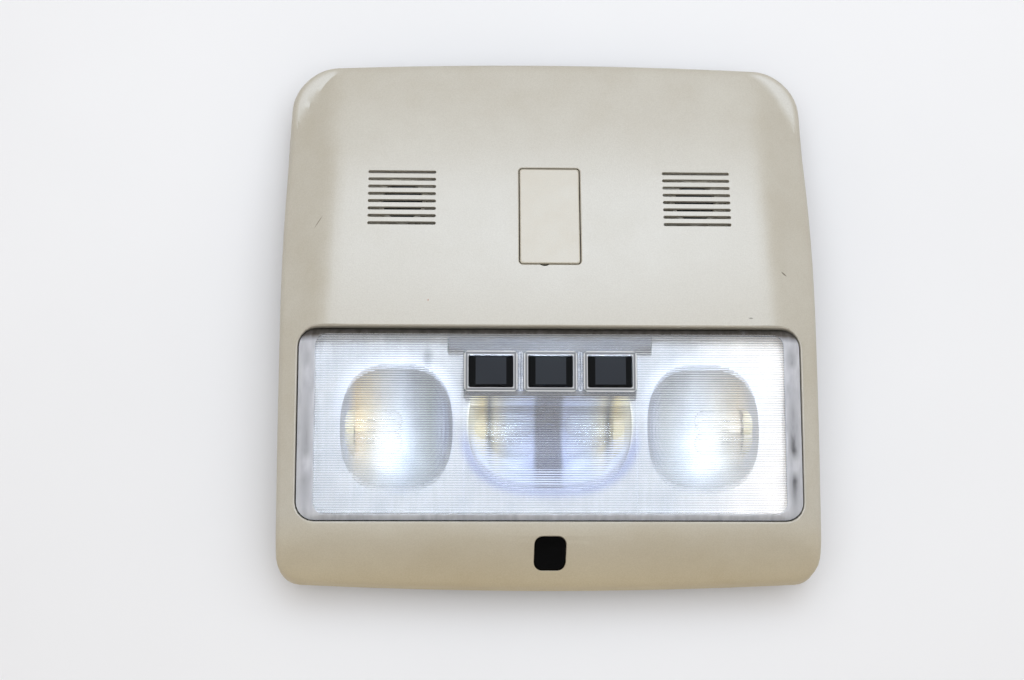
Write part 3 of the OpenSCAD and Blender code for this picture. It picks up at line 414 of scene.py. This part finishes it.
def lens_edge_acrylic():
    """The same acrylic on the sloped rim and the skirt: greyer, with painted shade, a painted paler front
    slope and painted streaks of reflection.
    """
    made, tree, shader, _, place = start_material("lens_edge_acrylic", {
        "IOR": 1.49, "Transmission Weight": 0.2, "Roughness": 0.12})
    parts = add(tree, "SeparateXYZ", [place])
    lined = add(tree, "Mapping", {"Vector": place, "Scale": (1 / (2.4 * MM), 1 / (9 * MM), 1 / (16 * MM))})
    patches = add(tree, "TexNoise", {"Vector": lined, "Scale": 1.0, "Detail": 3.0})
    # Painted shade: the skirt darkens towards its foot, and the back edge in the shadow of the bezel wall is
    # darker still
    level = add(tree, "MapRange", [parts.outputs["Z"], 36.5 * MM, 40.0 * MM])
    back = add(tree, "MapRange", [parts.outputs["Y"], -12.5 * MM, -9.5 * MM, 1.0, 0.2])
    painted_light = add(tree, "Math", [level, back], operation="MULTIPLY")
    # Painted light: the narrow slope at the front looks into the room and is painted paler
    low = add(tree, "MapRange", [parts.outputs["Y"], -89 * MM, -91 * MM, 0.0, 0.4])
    painted_light = add(tree, "Math", [painted_light, low], operation="ADD")
    mixed = add(tree, "Math", [add(tree, "Math", [patches, 0.6], operation="MULTIPLY"), painted_light],
                operation="ADD")
    greys = add(tree, "ValToRGB", [add(tree, "MapRange", [mixed, 0.0, 1.7])],
                [(0.15, "3A3632"), (0.35, "6E6A68"), (0.62, "B4B6BF"), (0.78, "D6D8E0"), (0.95, "EEF0F6")])
    # Painted reflections: dark streaks inside both sloped ends, broken by two bright gaps, stronger on the
    # right
    reach = add(tree, "Math", [parts.outputs["X"]], operation="ABSOLUTE")
    across = add(tree, "ValToRGB", [add(tree, "MapRange", [reach, 97 * MM, 104 * MM])],
                 [(0.05, "000000"), (0.42, "FFFFFF"), (0.52, "FFFFFF"), (0.9, "000000")])
    along = add(tree, "ValToRGB", [add(tree, "MapRange", [parts.outputs["Y"], -88 * MM, -12 * MM])],
                [(0.02, "000000"), (0.12, "B0B0B0"), (0.24, "FFFFFF"), (0.3, "101010"), (0.34, "101010"),
                 (0.4, "FFFFFF"), (0.6, "C0C0C0"), (0.76, "000000"), (0.84, "000000"), (0.88, "C0C0C0"),
                 (0.92, "C0C0C0"), (0.98, "000000")])
    worn = add(tree, "MapRange", [patches, 0.35, 0.6, 0.35, 1.0])
    painted_streak = add(tree, "Math", [add(tree, "Math", [across, along], operation="MULTIPLY"), worn],
                 operation="MULTIPLY")
    right = add(tree, "MapRange", [parts.outputs["X"], -20 * MM, 20 * MM, 0.5, 0.9])
    dark = add(tree, "Math", [painted_streak, right], operation="MULTIPLY")
    feed(tree, shader, Base_Color=add(tree, "MixRGB", [dark, greys, tone("55565C")]))
    return made


def lens_collar_acrylic(window):
    """The same acrylic on the tops of the collars: grey, with a painted highlight along each edge of the
    wall.
    """
    made, tree, shader, _, place = start_material("lens_collar_acrylic", {
        "IOR": 1.49, "Transmission Weight": 0.2, "Roughness": 0.1})
    pitch, middle, half_w, half_l, wall = window
    parts = add(tree, "SeparateXYZ", [place])
    across = add(tree, "Math",
                 [add(tree, "Math", [parts.outputs["X"], pitch / 2, -pitch / 2], operation="WRAP")],
                 operation="ABSOLUTE")
    along = add(tree, "Math", [add(tree, "Math", [parts.outputs["Y"], middle], operation="SUBTRACT")],
                operation="ABSOLUTE")
    beyond = add(tree, "Math", [add(tree, "Math", [across, half_w], operation="SUBTRACT"),
                                add(tree, "Math", [along, half_l], operation="SUBTRACT")],
                 operation="MAXIMUM")
    share = add(tree, "MapRange", [beyond, 0.0, wall])
    # Painted highlights along both edges of the wall, grey between them
    feed(tree, shader, Base_Color=add(tree, "ValToRGB", [share], [
        (0.05, "EDEFF3"), (0.28, "94979D"), (0.5, "7B7E84"), (0.7, "A9ACB2"), (0.88, "FFFFFF")]))
    return made


def rib_acrylic():
    """The same acrylic in thin ribs: bright, for their round tops gather the light."""
    made, tree, shader, out, place = start_material("rib_clear_acrylic", {
        "IOR": 1.49, "Transmission Weight": 0.5, "Roughness": 0.08})
    beads = add(tree, "TexNoise", {"Vector": place, "Scale": 1 / (1.5 * MM), "Detail": 2.0})
    feed(tree, shader, Base_Color=add(tree, "ValToRGB", [beads], [(0.35, "C9CCD4"), (0.65, "FFFFFF")]))
    shine_through(tree, shader, out)
    return made


def shine_through(tree, shader, out):
    """Lets the lamps shine through a clear material: it is transparent to them, and glass to the eye."""
    clear = add(tree, "BsdfTransparent", {"Color": tone("F8F9FC")})
    path = add(tree, "LightPath").outputs["Is Shadow Ray"]
    tree.links.new(add(tree, "MixShader", [path, shader, clear]).outputs[0], out.inputs["Surface"])


def bowl_metal():
    """Vacuum-metallised plastic: pale and silvery, with its reflections painted in: streaks, a tan band on
    the outer walls, rings and crescents.
    """
    made, tree, shader, _, place = start_material("bowl_vacuum_metallised", {"Metallic": 0.22})
    parts = add(tree, "SeparateXYZ", [place])
    reach = add(tree, "Math", [parts.outputs["X"]], operation="ABSOLUTE")
    side = add(tree, "Math", [reach, SIDE_BOWL[0]], operation="SUBTRACT")
    side_up = add(tree, "Math", [parts.outputs["Y"], SIDE_BOWL[1]], operation="SUBTRACT")
    mid_up = add(tree, "Math", [parts.outputs["Y"], MID_BOWL[1]], operation="SUBTRACT")
    # Painted reflections: streaks stretched along Y stand in for reflections smeared by the flutes; they
    # also vary the roughness
    lined = add(tree, "Mapping", {"Vector": place, "Scale": (1 / (1.6 * MM), 1 / (28 * MM), 1 / (20 * MM))})
    streaks = add(tree, "TexNoise", {"Vector": lined, "Scale": 1.0, "Detail": 3.0, "Roughness": 0.6})
    wander = add(tree, "Math", [add(tree, "Math", [streaks, 6 * MM], operation="MULTIPLY"), 3 * MM],
                 operation="SUBTRACT")
    # Painted reflections across a side bowl from its inner to its outer wall: slate, pale, grey, white,
    # cream, tan, pale
    shifted = add(tree, "Math", [side, wander], operation="ADD")
    across = add(tree, "MapRange", [shifted, -24 * MM, 24 * MM])
    walls = add(tree, "ValToRGB", [across],
                [(0.02, "58607A"), (0.1, "A3A9B4"), (0.2, "888C86"), (0.36, "9A9C9B"), (0.47, "C6C7C8"),
                 (0.62, "C4BDB2"), (0.78, "C4AE88"), (0.86, "C9A872"), (0.95, "B8B3AE")])
    # Painted reflection: the right bowl is paler
    right = add(tree, "MapRange", [parts.outputs["X"], 30 * MM, 40 * MM, 0.0, 0.4])
    walls = add(tree, "MixRGB", [right, walls, tone("D2CCC2")])
    edge = oval(tree, side, side_up, SIDE_BOWL[2:], 2.5)
    # Painted shade: a faint grey ring just inside the rim of each side bowl
    rim = add(tree, "ValToRGB", [edge], [(0.82, "FFFFFF"), (0.95, "DDE0E6"), (1.0, "F4F6FA")])
    inside = add(tree, "MixRGB", [1.0, walls, rim], blend_type="MULTIPLY")
    # Painted shade: the lower wall, which faces the open side, is painted greyer
    painted_low_shade = add(tree, "MapRange", [side_up, 0.0, -16 * MM, 0.0, 0.7])
    inside = add(tree, "MixRGB", [painted_low_shade, inside, tone("8D8E8C")])
    # Dark reflections nest along the inner wall
    arcs = add(tree, "Math", [add(tree, "Math", [edge, 88.0], operation="MULTIPLY")], operation="SINE")
    inner = add(tree, "MapRange", [side, -9 * MM, -19 * MM, 0.0, 0.55])
    outer = add(tree, "MapRange", [edge, 0.66, 0.76])
    nested = add(tree, "Math", [add(tree, "Math", [arcs, inner], operation="MULTIPLY"), outer],
                 operation="MULTIPLY", use_clamp=True)
    inside = add(tree, "MixRGB", [nested, inside, tone("3F455C")])
    plate = add(tree, "ValToRGB", [streaks], [(0.3, "86827A"), (0.7, "938F87")])
    # The right end takes the warm light of the room
    warm = add(tree, "MapRange", [parts.outputs["X"], 50 * MM, 90 * MM])
    plate = add(tree, "MixRGB", [warm, plate, tone("B9AB98")])
    # Painted highlight: a bright ring above each side bowl
    painted_halo = add(tree, "ValToRGB", [edge], [(0.98, "000000"), (0.999, "FFFFFF")])
    fade = add(tree, "MapRange", [edge, 1.08, 1.22, 0.7, 0.0])
    above = add(tree, "MapRange", [side_up, 2 * MM, 20 * MM])
    painted_ring_highlight = add(tree, "Math", [add(tree, "Math", [painted_halo, fade], operation="MULTIPLY"), above],
                 operation="MULTIPLY")
    plate = add(tree, "MixRGB", [painted_ring_highlight, plate, tone("B2AFAE")])
    # Painted shade: a dim spot on the plate where a post stands behind it
    post = mark(tree, place, (-50.6 * MM, -18.6 * MM), (1.6 * MM, 3.2 * MM), 0.0, 0.8)
    plate = add(tree, "MixRGB", [post, plate, tone("4C4C48")])
    is_side = add(tree, "MapRange", [edge, 0.9, 1.06, 1.0, 0.0])
    last = add(tree, "MixRGB", [is_side, plate, inside])
    # Painted reflections across the middle bowl from its middle out: a dark band, grey, cream, a dark
    # crescent, yellow
    swayed = add(tree, "Math", [wander, 0.3], operation="MULTIPLY")
    middle = add(tree, "MapRange", [add(tree, "Math", [reach, swayed], operation="ADD"), 0.0, 34 * MM])
    painted_mid_reflections = add(tree, "ValToRGB", [middle],
               [(0.14, "292E40"), (0.2, "868B9E"), (0.5, "989BA0"), (0.66, "AEA286"), (0.74, "3E3D36"),
                (0.82, "CAB274"), (0.95, "CCC0A0")])
    well = oval(tree, parts.outputs["X"], mid_up, MID_BOWL[2:], 2.5)
    low = add(tree, "MapRange", [mid_up, 0.0, -9 * MM])
    # Ramps over the rim of the middle bowl run from 0.5 to 1.5 of its size
    band = add(tree, "MapRange", [well, 0.5, 1.5])
    # Painted highlight: a white crescent along the lower inner wall of the middle bowl
    painted_lip_highlight = add(tree, "ValToRGB", [band],
              [(0.28, "000000"), (0.33, "FFFFFF"), (0.48, "FFFFFF"), (0.52, "000000")])
    bright = add(tree, "MixRGB",
                 [add(tree, "Math", [painted_lip_highlight, low], operation="MULTIPLY"), painted_mid_reflections, tone("BEBFC4")])
    is_mid = add(tree, "MapRange", [well, 0.99, 1.03, 1.0, 0.0])
    last = add(tree, "MixRGB", [is_mid, last, bright])
    # Painted shadow: a dark crescent just outside the lip, along the lower rim of the middle bowl
    ring = add(tree, "ValToRGB", [band],
               [(0.47, "000000"), (0.52, "FFFFFF"), (0.57, "FFFFFF"), (0.65, "000000")])
    shaded = add(tree, "Math", [ring, low], operation="MULTIPLY")
    feed(tree, shader, Base_Color=add(tree, "MixRGB", [shaded, last, tone("6A6C7C")]),
         Roughness=add(tree, "MapRange", [streaks, 0.3, 0.7, 0.62, 0.5]))
    return made


def bulb_glass():
    """Thin lamp glass: nearly unseen but for its bright edges."""
    made, tree, shader, out, place = start_material("bulb_soda_glass", {
        "IOR": 1.5, "Transmission Weight": 1.0, "Roughness": 0.03})
    wave = add(tree, "TexNoise", {"Vector": place, "Scale": 1 / (8 * MM)})
    feed(tree, shader, Base_Color=add(tree, "ValToRGB", [wave], [(0.3, "F1F1EC"), (0.7, "FBFBF8")]))
    shine_through(tree, shader, out)
    return made


# The pieces


def filament(name, middle, values):
    """A wound filament along X: a small ring, swept round and along by a screw, and laid into the bulb."""
    bpy.ops.object.select_all(action="DESELECT")
    bpy.ops.mesh.primitive_circle_add(vertices=6, radius=values.wire, location=(values.coil, 0, 0),
                                      rotation=(math.pi / 2, 0, 0))
    wound = bpy.context.object
    wound.name = wound.data.name = name
    settle(wound)
    turns = values.turns
    apply_modifier(wound, "SCREW", angle=math.tau * turns, screw_offset=values.length, steps=12 * turns,
                   render_steps=12 * turns, axis="Z", use_normal_calculate=True)
    edit(wound, lambda: bpy.ops.mesh.normals_make_consistent(inside=False))
    bpy.ops.transform.rotate(value=math.pi / 2, orient_axis="Y", center_override=(0, 0, 0))
    settle(wound)
    wide = [v.co.x for v in wound.data.vertices]
    wound.location = middle - Vector(((min(wide) + max(wide)) / 2, 0, 0))
    settle(wound)
    smooth(wound, 60)
    return wound


class LAMP_OT_bezel(bpy.types.Operator):
    """Dresses the bezel in grained ABS, and the blanking plate in its cover"""
    bl_idname = "lamp.bezel"
    bl_label = "Bezel and blanking plate"

    def execute(self, context):
        values = context.scene.lamp_bezel
        grained = bezel_abs(values.colour, values.grain)
        carried("bezel", "bezel_skin", grained, "beige_plastic", degrees=math.degrees(values.smooth_angle))
        # A thin web closes each front pilot hole, where the face falls below the top of the hole
        x, y, radius, foot, top = PILOT
        for side, sign in zip(SIDES, (-1, 1)):
            bpy.ops.object.select_all(action="DESELECT")
            bpy.ops.mesh.primitive_cylinder_add(vertices=24, radius=radius, depth=top - foot,
                                                location=(sign * x, y, (foot + top) / 2))
            web = context.object
            web.name = web.data.name = "pilot_web_" + side
            settle(web)
            edit(web, lambda: bpy.ops.mesh.bisect(plane_co=FACE_POINT, plane_no=FACE_FALL, clear_outer=True,
                                                  use_fill=True))
            smooth(web)
            dress(web, grained, "beige_plastic", "lamp")
        # Cover ABS from another tool: a shade lighter and a little smoother than the bezel
        cover = moulded("cover_grained_abs", values.cover_colour, "BBB4A3", 0.56, 0.45 * MM, 0.03 * MM)
        carried("blanking_plate", "blanking_cover", cover, "beige_cover", degrees=12)
        return {"FINISHED"}


def key_middles():
    """Middles of the centre and the right key."""
    return [(lo + hi) / 2 for lo, hi in (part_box("key_centre"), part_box("key_right"))]


class LAMP_OT_lens(bpy.types.Operator):
    """Makes the clear lens, with smooth shallow flutes underneath"""
    bl_idname = "lamp.lens"
    bl_label = "Lens"

    def execute(self, context):
        values = context.scene.lamp_lens

        def shallow(piece):
            for v in piece.data.vertices:
                if FLUTE_CREST - NEAR < v.co.z < LENS_UNDER - NEAR:
                    v.co.z = LENS_UNDER - (LENS_UNDER - v.co.z) * values.flute_share

        packed = NODES["lens"].data.vertices
        lines = sorted({round(v.co.y, 6) for v in packed if abs(v.co.z - FLUTE_CREST) < NEAR})
        finish = lens_acrylic(lines[0], lines[1] - lines[0])
        piece = carried("lens", "lens_clear", finish, "clear_lens", degrees=18, turned=shallow)
        piece.data.materials.append(lens_edge_acrylic())
        piece.data.materials.append(lens_under_acrylic())
        centre, right = key_middles()
        piece.data.materials.append(lens_collar_acrylic((right.x - centre.x, centre.y, *COLLAR)))
        lo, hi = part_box("lens")
        middle = (lo + hi) / 2
        top = [v.co for v in piece.data.vertices if abs(v.co.z - LENS_TOP) < 2 * NEAR]
        wide = max(v.x for v in top) - 5 * NEAR
        deep = max(v.y for v in top) - middle.y - 5 * NEAR
        # Slots in the order they were added: top, sloped rim, underside and walls, collar tops
        for face in piece.data.polygons:
            if abs(face.center.x) > wide or abs(face.center.y - middle.y) > deep:
                face.material_index = 1
            elif face.normal.z < 0.9:
                face.material_index = 2
            elif face.center.z > COLLAR_LEVEL:
                face.material_index = 3
        return {"FINISHED"}


class LAMP_OT_ribs(bpy.types.Operator):
    """Models one pair of ribs with its end bridges and copies it into both gaps between the collars"""
    bl_idname = "lamp.ribs"
    bl_label = "Ribs between the keys"

    def execute(self, context):
        values = context.scene.lamp_lens
        centre, right = key_middles()
        half_long = COLLAR[1] + COLLAR[2] - values.rib_width
        gap = (right.x - centre.x) / 2
        # Four bars make a narrow frame: two ribs and a bridge at each end
        bars = []
        for x, y, wide, long in ((-1, 0, values.rib_width, 2 * half_long),
                                 (1, 0, values.rib_width, 2 * half_long),
                                 (0, -1, 2 * values.rib_space, values.rib_width),
                                 (0, 1, 2 * values.rib_space, values.rib_width)):
            place = (gap + x * values.rib_space, centre.y + y * half_long, LENS_TOP + values.rib_height / 2)
            bpy.ops.object.select_all(action="DESELECT")
            bpy.ops.mesh.primitive_cube_add(size=1.0, location=place)
            bar = context.object
            bpy.ops.transform.resize(value=(wide, long, values.rib_height))
            settle(bar)
            points = bar.data.vertices
            upper = LENS_TOP + values.rib_height
            edit_edges(bar, lambda line: all(abs(points[v].co.z - upper) < NEAR for v in line.vertices),
                       lambda: bpy.ops.mesh.bevel(offset=0.3 * values.rib_height, segments=3))
            bars.append(bar)
        only(*bars)
        bpy.ops.object.join()
        ribs = context.object
        ribs.name = ribs.data.name = "collar_ribs_right"
        smooth(ribs, 40)
        ribs.data.materials.append(rib_acrylic())
        twin = bpy.data.objects.new("collar_ribs_left", ribs.data.copy())
        context.scene.collection.objects.link(twin)
        twin.data.name = twin.name
        for vertex in twin.data.vertices:
            vertex.co.x -= 2 * gap
        for piece in (ribs, twin):
            dress(piece, None, "clear_lens", "lamp")
        return {"FINISHED"}


class LAMP_OT_bowls(bpy.types.Operator):
    """Dresses the reflector plate with its three bowls"""
    bl_idname = "lamp.bowls"
    bl_label = "Reflector bowls"

    def execute(self, context):
        carried("reflector", "reflector_bowls", bowl_metal(), "metallised", degrees=40)
        return {"FINISHED"}


class LAMP_OT_keys(bpy.types.Operator):
    """Dresses the three push keys: satin tops, and rougher sides painted darker as shade"""
    bl_idname = "lamp.keys"
    bl_label = "Push keys"

    def execute(self, context):
        values = context.scene.lamp_keys
        # Key ABS: black, satin on its top
        satin = moulded("key_satin_abs", values.colour, "14161B", 0.5, 0.3 * MM, 0.008 * MM, gloss=0.1)
        # The same ABS on the falling sides, where the tool was left rough: rougher, and painted darker as
        # shade so that they look blacker
        rough = moulded("key_side_shaded_abs", "0B0C0D", "08090A", 0.65, 0.3 * MM, 0.01 * MM, gloss=0.06)
        for side in KEYS:
            node = "key_" + side
            piece = carried(node, "push_key_" + side, satin, "black_plastic", degrees=25, body=node)
            piece.data.materials.append(rough)
            for face in piece.data.polygons:
                if abs(face.normal.x) > KEY_LEAN[0] or abs(face.normal.y) > KEY_LEAN[1]:
                    face.material_index = 1
        return {"FINISHED"}


class LAMP_OT_window(bpy.types.Operator):
    """Dresses the dark window with the light and its board behind it"""
    bl_idname = "lamp.window"
    bl_label = "Dark window"

    def execute(self, context):
        # Smoked polycarbonate: nearly black, smooth, with hardly any shine
        smoked = moulded("window_smoked_polycarbonate", "060607", "040404", 0.2, 3 * MM, 0.002 * MM,
                         ior=1.58, gloss=0.02)
        carried("dark_window", "window_smoked", smoked, "dark_plastic", degrees=28)
        # Solder lacquer over the glass-fibre board: clear green, satin
        board = moulded("board_green_lacquer", "1F6B43", "174F33", 0.35, 0.8 * MM, 0.01 * MM)
        carried("led_board", "window_board", board, "board", edge=0.1 * MM)
        # Cast epoxy of the light: cream, smooth and waxy
        resin = moulded("led_epoxy_resin", "E9DCAE", "DCCB93", 0.2, 1.5 * MM, 0.002 * MM)
        carried("led", "window_led", resin, "led_resin")
        return {"FINISHED"}


class LAMP_OT_bulbs(bpy.types.Operator):
    """Dresses the four bulbs with their holders and contacts"""
    bl_idname = "lamp.bulbs"
    bl_label = "Bulbs and holders"

    def execute(self, context):
        glass = bulb_glass()
        # Heated nylon of the holders: ivory gone tan, satin
        nylon = moulded("holder_ivory_nylon", "BFAF86", "B09E72", 0.4, 0.8 * MM, 0.01 * MM)
        for lamp in LAMPS:
            for side in SIDES:
                carried(f"{lamp}_bulb_{side}", f"{lamp}_lamp_glass_{side}", glass, "bulb_glass", degrees=40)
                carried(f"{lamp}_holder_{side}", f"{lamp}_socket_{side}", nylon, "ivory_nylon",
                        edge=0.2 * MM)
        # Filament: tungsten, dull grey with a brown bloom
        tungsten = drawn_metal("filament_drawn_tungsten", "8C8680", "5B544C", 0.35, (300, 300, 300))
        values = context.scene.lamp_bulbs
        for lamp in LAMPS:
            for side in SIDES:
                lo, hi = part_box(f"{lamp}_bulb_{side}")
                wound = filament(f"{lamp}_filament_{side}", (lo + hi) / 2, values)
                dress(wound, tungsten, "bulb_glass", "lamp")
        # Contacts: rolled brass strip, bright with drawn lines
        brass = drawn_metal("contact_rolled_brass", "CBB276", "A98D4C", 0.28, (400, 400, 90))
        carried("holder_contacts", "lamp_contacts", brass, "contact_metal", edge=0.08 * MM)
        return {"FINISHED"}


class LAMP_OT_sensors(bpy.types.Operator):
    """Dresses the two sensors behind the grilles"""
    bl_idname = "lamp.sensors"
    bl_label = "Sensors"

    def execute(self, context):
        # Sensor ABS: pale ivory, so its collars show through the slots
        ivory = moulded("sensor_ivory_abs", "E4E0D4", "D2CCBB", 0.45, 0.6 * MM, 0.02 * MM)
        # Sensor face: blackened metal gauze, dull
        dark = drawn_metal("sensor_blackened_metal", "3A3B3E", "1B1C1E", 0.5, (900, 900, 900))
        for side in SIDES:
            carried("sensor_body_" + side, "sensor_mount_" + side, ivory, "ivory_plastic", edge=0.15 * MM)
            carried("sensor_element_" + side, "sensor_face_" + side, dark, "sensor_metal", edge=0.2 * MM)
        # Zinc-plated steel: bright and cool, turned lines on the heads
        zinc = drawn_metal("screw_bright_zinc", "C9CCCF", "9EA2A8", 0.3, (600, 600, 120))
        carried("sensor_screws", "sensor_fixings", zinc, "zinc_steel", edge=0.1 * MM)
        carried("housing_screws", "housing_fixings", zinc, "zinc_steel", edge=0.15 * MM)
        return {"FINISHED"}


class LAMP_OT_housing(bpy.types.Operator):
    """Dresses the housing, the spring clips and the key guide"""
    bl_idname = "lamp.housing"
    bl_label = "Housing and clips"

    def execute(self, context):
        # Housing: talc-filled polypropylene, pale grey with soft flow marks
        grey = moulded("housing_filled_polypropylene", "B9BCC0", "A7ABB0", 0.5, 0.7 * MM, 0.02 * MM)
        carried("housing", "lamp_housing", grey, "housing_plastic", edge=0.3 * MM)
        # Guide ABS: dark grey and dull, so it recedes round the keys
        guide = moulded("guide_grey_abs", "2A2A2A", "222222", 0.5, 0.5 * MM, 0.015 * MM)
        carried("key_guide", "key_carrier", guide, "grey_plastic", edge=0.15 * MM)
        # Tempered spring steel: mid grey, drawn along the strip
        steel = drawn_metal("clip_spring_steel", "8D9298", "64696F", 0.32, (60, 900, 900))
        for end in ("front", "rear"):
            for side in SIDES:
                carried(f"clip_{end}_{side}", f"spring_clip_{end}_{side}", steel, "spring_steel",
                        edge=0.08 * MM)
        return {"FINISHED"}


class LAMP_OT_electrics(bpy.types.Operator):
    """Dresses the circuit board and all that is soldered to it"""
    bl_idname = "lamp.electrics"
    bl_label = "Board, switches and connectors"

    def execute(self, context):
        # The same lacquer on the large board, a shade brighter
        lacquer = moulded("main_board_green_lacquer", "22704A", "184F34", 0.32, 0.8 * MM, 0.01 * MM)
        carried("circuit_board", "main_board", lacquer, "board", edge=0.1 * MM)
        # Switch nylon: black, faintly satin
        black = moulded("switch_black_nylon", "26282C", "1C1D20", 0.42, 0.4 * MM, 0.012 * MM)
        # Plunger nylon: milky white, slippery and smooth
        white = moulded("plunger_white_nylon", "EDEAE1", "DDD9CD", 0.35, 0.6 * MM, 0.008 * MM)
        for side in KEYS:
            carried("switch_" + side, "push_switch_" + side, black, "switch_plastic", edge=0.15 * MM)
            carried("plunger_" + side, "switch_plunger_" + side, white, "white_nylon", edge=0.2 * MM,
                    body="key_" + side)
        # Socket nylon: black, with a slightly rougher skin
        socket = moulded("socket_black_nylon", "202225", "17181A", 0.45, 0.5 * MM, 0.015 * MM)
        carried("harness_socket", "supply_socket", socket, "black_nylon", edge=0.3 * MM)
        # Tinned brass pins: pale gold, bright along the draw
        brass = drawn_metal("pin_tinned_brass", "D2C28F", "A9965C", 0.22, (400, 400, 90))
        carried("socket_pins", "supply_pins", brass, "contact_metal", edge=0.1 * MM)
        # Undyed nylon of the plug and header: warm white, satin
        nylon = moulded("plug_natural_nylon", "ECE7DA", "DCD5C2", 0.4, 0.6 * MM, 0.01 * MM)
        carried("lead_header", "board_header", nylon, "natural_nylon", edge=0.2 * MM)
        carried("lead_plug", "lead_connector", nylon, "natural_nylon", edge=0.2 * MM)
        return {"FINISHED"}


class LAMP_OT_leads(bpy.types.Operator):
    """Dresses the three inner leads"""
    bl_idname = "lamp.leads"
    bl_label = "Inner leads"

    def execute(self, context):
        # Soft PVC of the leads: black, dull and rubbery
        rubber = moulded("lead_soft_pvc", "2A2A2C", "1E1E20", 0.5, 0.5 * MM, 0.02 * MM)
        for node in ("sensor_lead_left", "sensor_lead_right", "led_lead"):
            carried(node, node + "_sleeve", rubber, "lead_rubber", degrees=60)
        return {"FINISHED"}


class LAMP_OT_stage(bpy.types.Operator):
    """Makes the pale table, the soft light and the camera"""
    bl_idname = "lamp.stage"
    bl_label = "Table, light and camera"

    def execute(self, context):
        values = context.scene.lamp_stage
        bpy.ops.object.select_all(action="DESELECT")
        bpy.ops.mesh.primitive_plane_add(size=TABLE, location=(0, 0, 0))
        floor = context.object
        floor.name = "table_top"
        # Table: white laminate, dull and nearly even
        made, tree, shader, _, place = start_material("table_white_laminate", {"Roughness": 0.7})
        clouds = add(tree, "TexNoise", {"Vector": place, "Scale": 5.0, "Detail": 3.0})
        feed(tree, shader, Base_Color=add(tree, "ValToRGB", [clouds], [(0.3, "ECECEF"), (0.7, "F0F0F3")]))
        floor.data.materials.append(made)

        world = bpy.data.worlds.new("studio")
        context.scene.world = world
        world.use_nodes = True
        tree = world.node_tree
        tree.nodes.clear()
        path = add(tree, "LightPath").outputs
        seen = add(tree, "Math", [path["Is Camera Ray"], path["Is Glossy Ray"]], operation="ADD")
        seen = add(tree, "Math", [seen, path["Is Transmission Ray"]], operation="ADD", use_clamp=True)
        even = add(tree, "Background", {"Color": tone(values.sky_colour), "Strength": values.sky})
        white = add(tree, "Background", {"Color": (1, 1, 1, 1), "Strength": 1.0})
        add(tree, "OutputWorld", {"Surface": add(tree, "MixShader", [seen, even, white])})

        # The softbox lights the object, and the strip behind it only gives the sheen on the face
        for name, power, size, place, colour, shines in (
                ("softbox", values.softbox, values.softbox_size, values.softbox_place,
                 values.softbox_colour, False),
                ("sheen_strip", values.sheen, values.sheen_size, values.sheen_place, values.sheen_colour,
                 True)):
            lamp = bpy.data.lights.new(name, "AREA")
            lamp.shape = "SQUARE"
            lamp.size = size
            lamp.energy = power
            lamp.color = tone(colour)[:3]
            box = bpy.data.objects.new(name, lamp)
            box.location = place
            box.rotation_euler = (-box.location).to_track_quat("-Z", "Y").to_euler()
            box.visible_glossy = shines
            box.visible_diffuse = not shines
            context.scene.collection.objects.link(box)

        tilt, turn, roll = values.camera_tilt, values.camera_turn, values.camera_roll
        ahead = Vector((0, math.sin(tilt), -math.cos(tilt)))
        up = Vector((0, math.cos(tilt), math.sin(tilt)))
        right = Vector((1, 0, 0))
        ahead, right = (ahead * math.cos(turn) + right * math.sin(turn),
                        right * math.cos(turn) - ahead * math.sin(turn))
        right, up = (right * math.cos(roll) + up * math.sin(roll),
                     up * math.cos(roll) - right * math.sin(roll))
        eye = bpy.data.cameras.new("camera")
        eye.sensor_width = 36.0
        eye.lens = values.camera_lens
        eye.clip_start = 0.01
        eye.clip_end = 20.0
        camera = bpy.data.objects.new("camera", eye)
        context.scene.collection.objects.link(camera)
        facing = Matrix((right, up, -ahead)).transposed().to_4x4()
        camera.matrix_world = Matrix.Translation(values.camera_place) @ facing
        context.scene.camera = camera
        context.scene.view_settings.view_transform = "Standard"
        return {"FINISHED"}


class LAMP_PT_panel(bpy.types.Panel):
    """Lists the pieces of the lamp in the sidebar"""
    bl_idname = "LAMP_PT_panel"
    bl_label = "Car interior light"
    bl_space_type = "VIEW_3D"
    bl_region_type = "UI"
    bl_category = "Lamp"

    def draw(self, context):
        for operator in OPERATORS:
            self.layout.operator(operator.bl_idname)
        for name in SETTINGS:
            group = getattr(context.scene, name)
            box = self.layout.box()
            for key in group.bl_rna.properties.keys():
                if key not in ("rna_type", "name"):
                    box.prop(group, key)


SETTINGS = {"lamp_bezel": BezelSettings, "lamp_lens": LensSettings, "lamp_bulbs": BulbSettings,
            "lamp_keys": KeySettings, "lamp_stage": StageSettings}
OPERATORS = (LAMP_OT_bezel, LAMP_OT_lens, LAMP_OT_ribs, LAMP_OT_bowls, LAMP_OT_keys, LAMP_OT_window,
             LAMP_OT_bulbs, LAMP_OT_sensors, LAMP_OT_housing, LAMP_OT_electrics, LAMP_OT_leads,
             LAMP_OT_stage)


def register():
    for group in (*SETTINGS.values(), *OPERATORS, LAMP_PT_panel):
        bpy.utils.register_class(group)
    for name, group in SETTINGS.items():
        setattr(bpy.types.Scene, name, PointerProperty(type=group))


def unregister():
    for name in SETTINGS:
        delattr(bpy.types.Scene, name)
    for group in reversed((*SETTINGS.values(), *OPERATORS, LAMP_PT_panel)):
        bpy.utils.unregister_class(group)


def main():
    register()
    for operator in OPERATORS:
        area, name = operator.bl_idname.split(".")
        getattr(getattr(bpy.ops, area), name)()


if __name__ == "__main__":
    main()
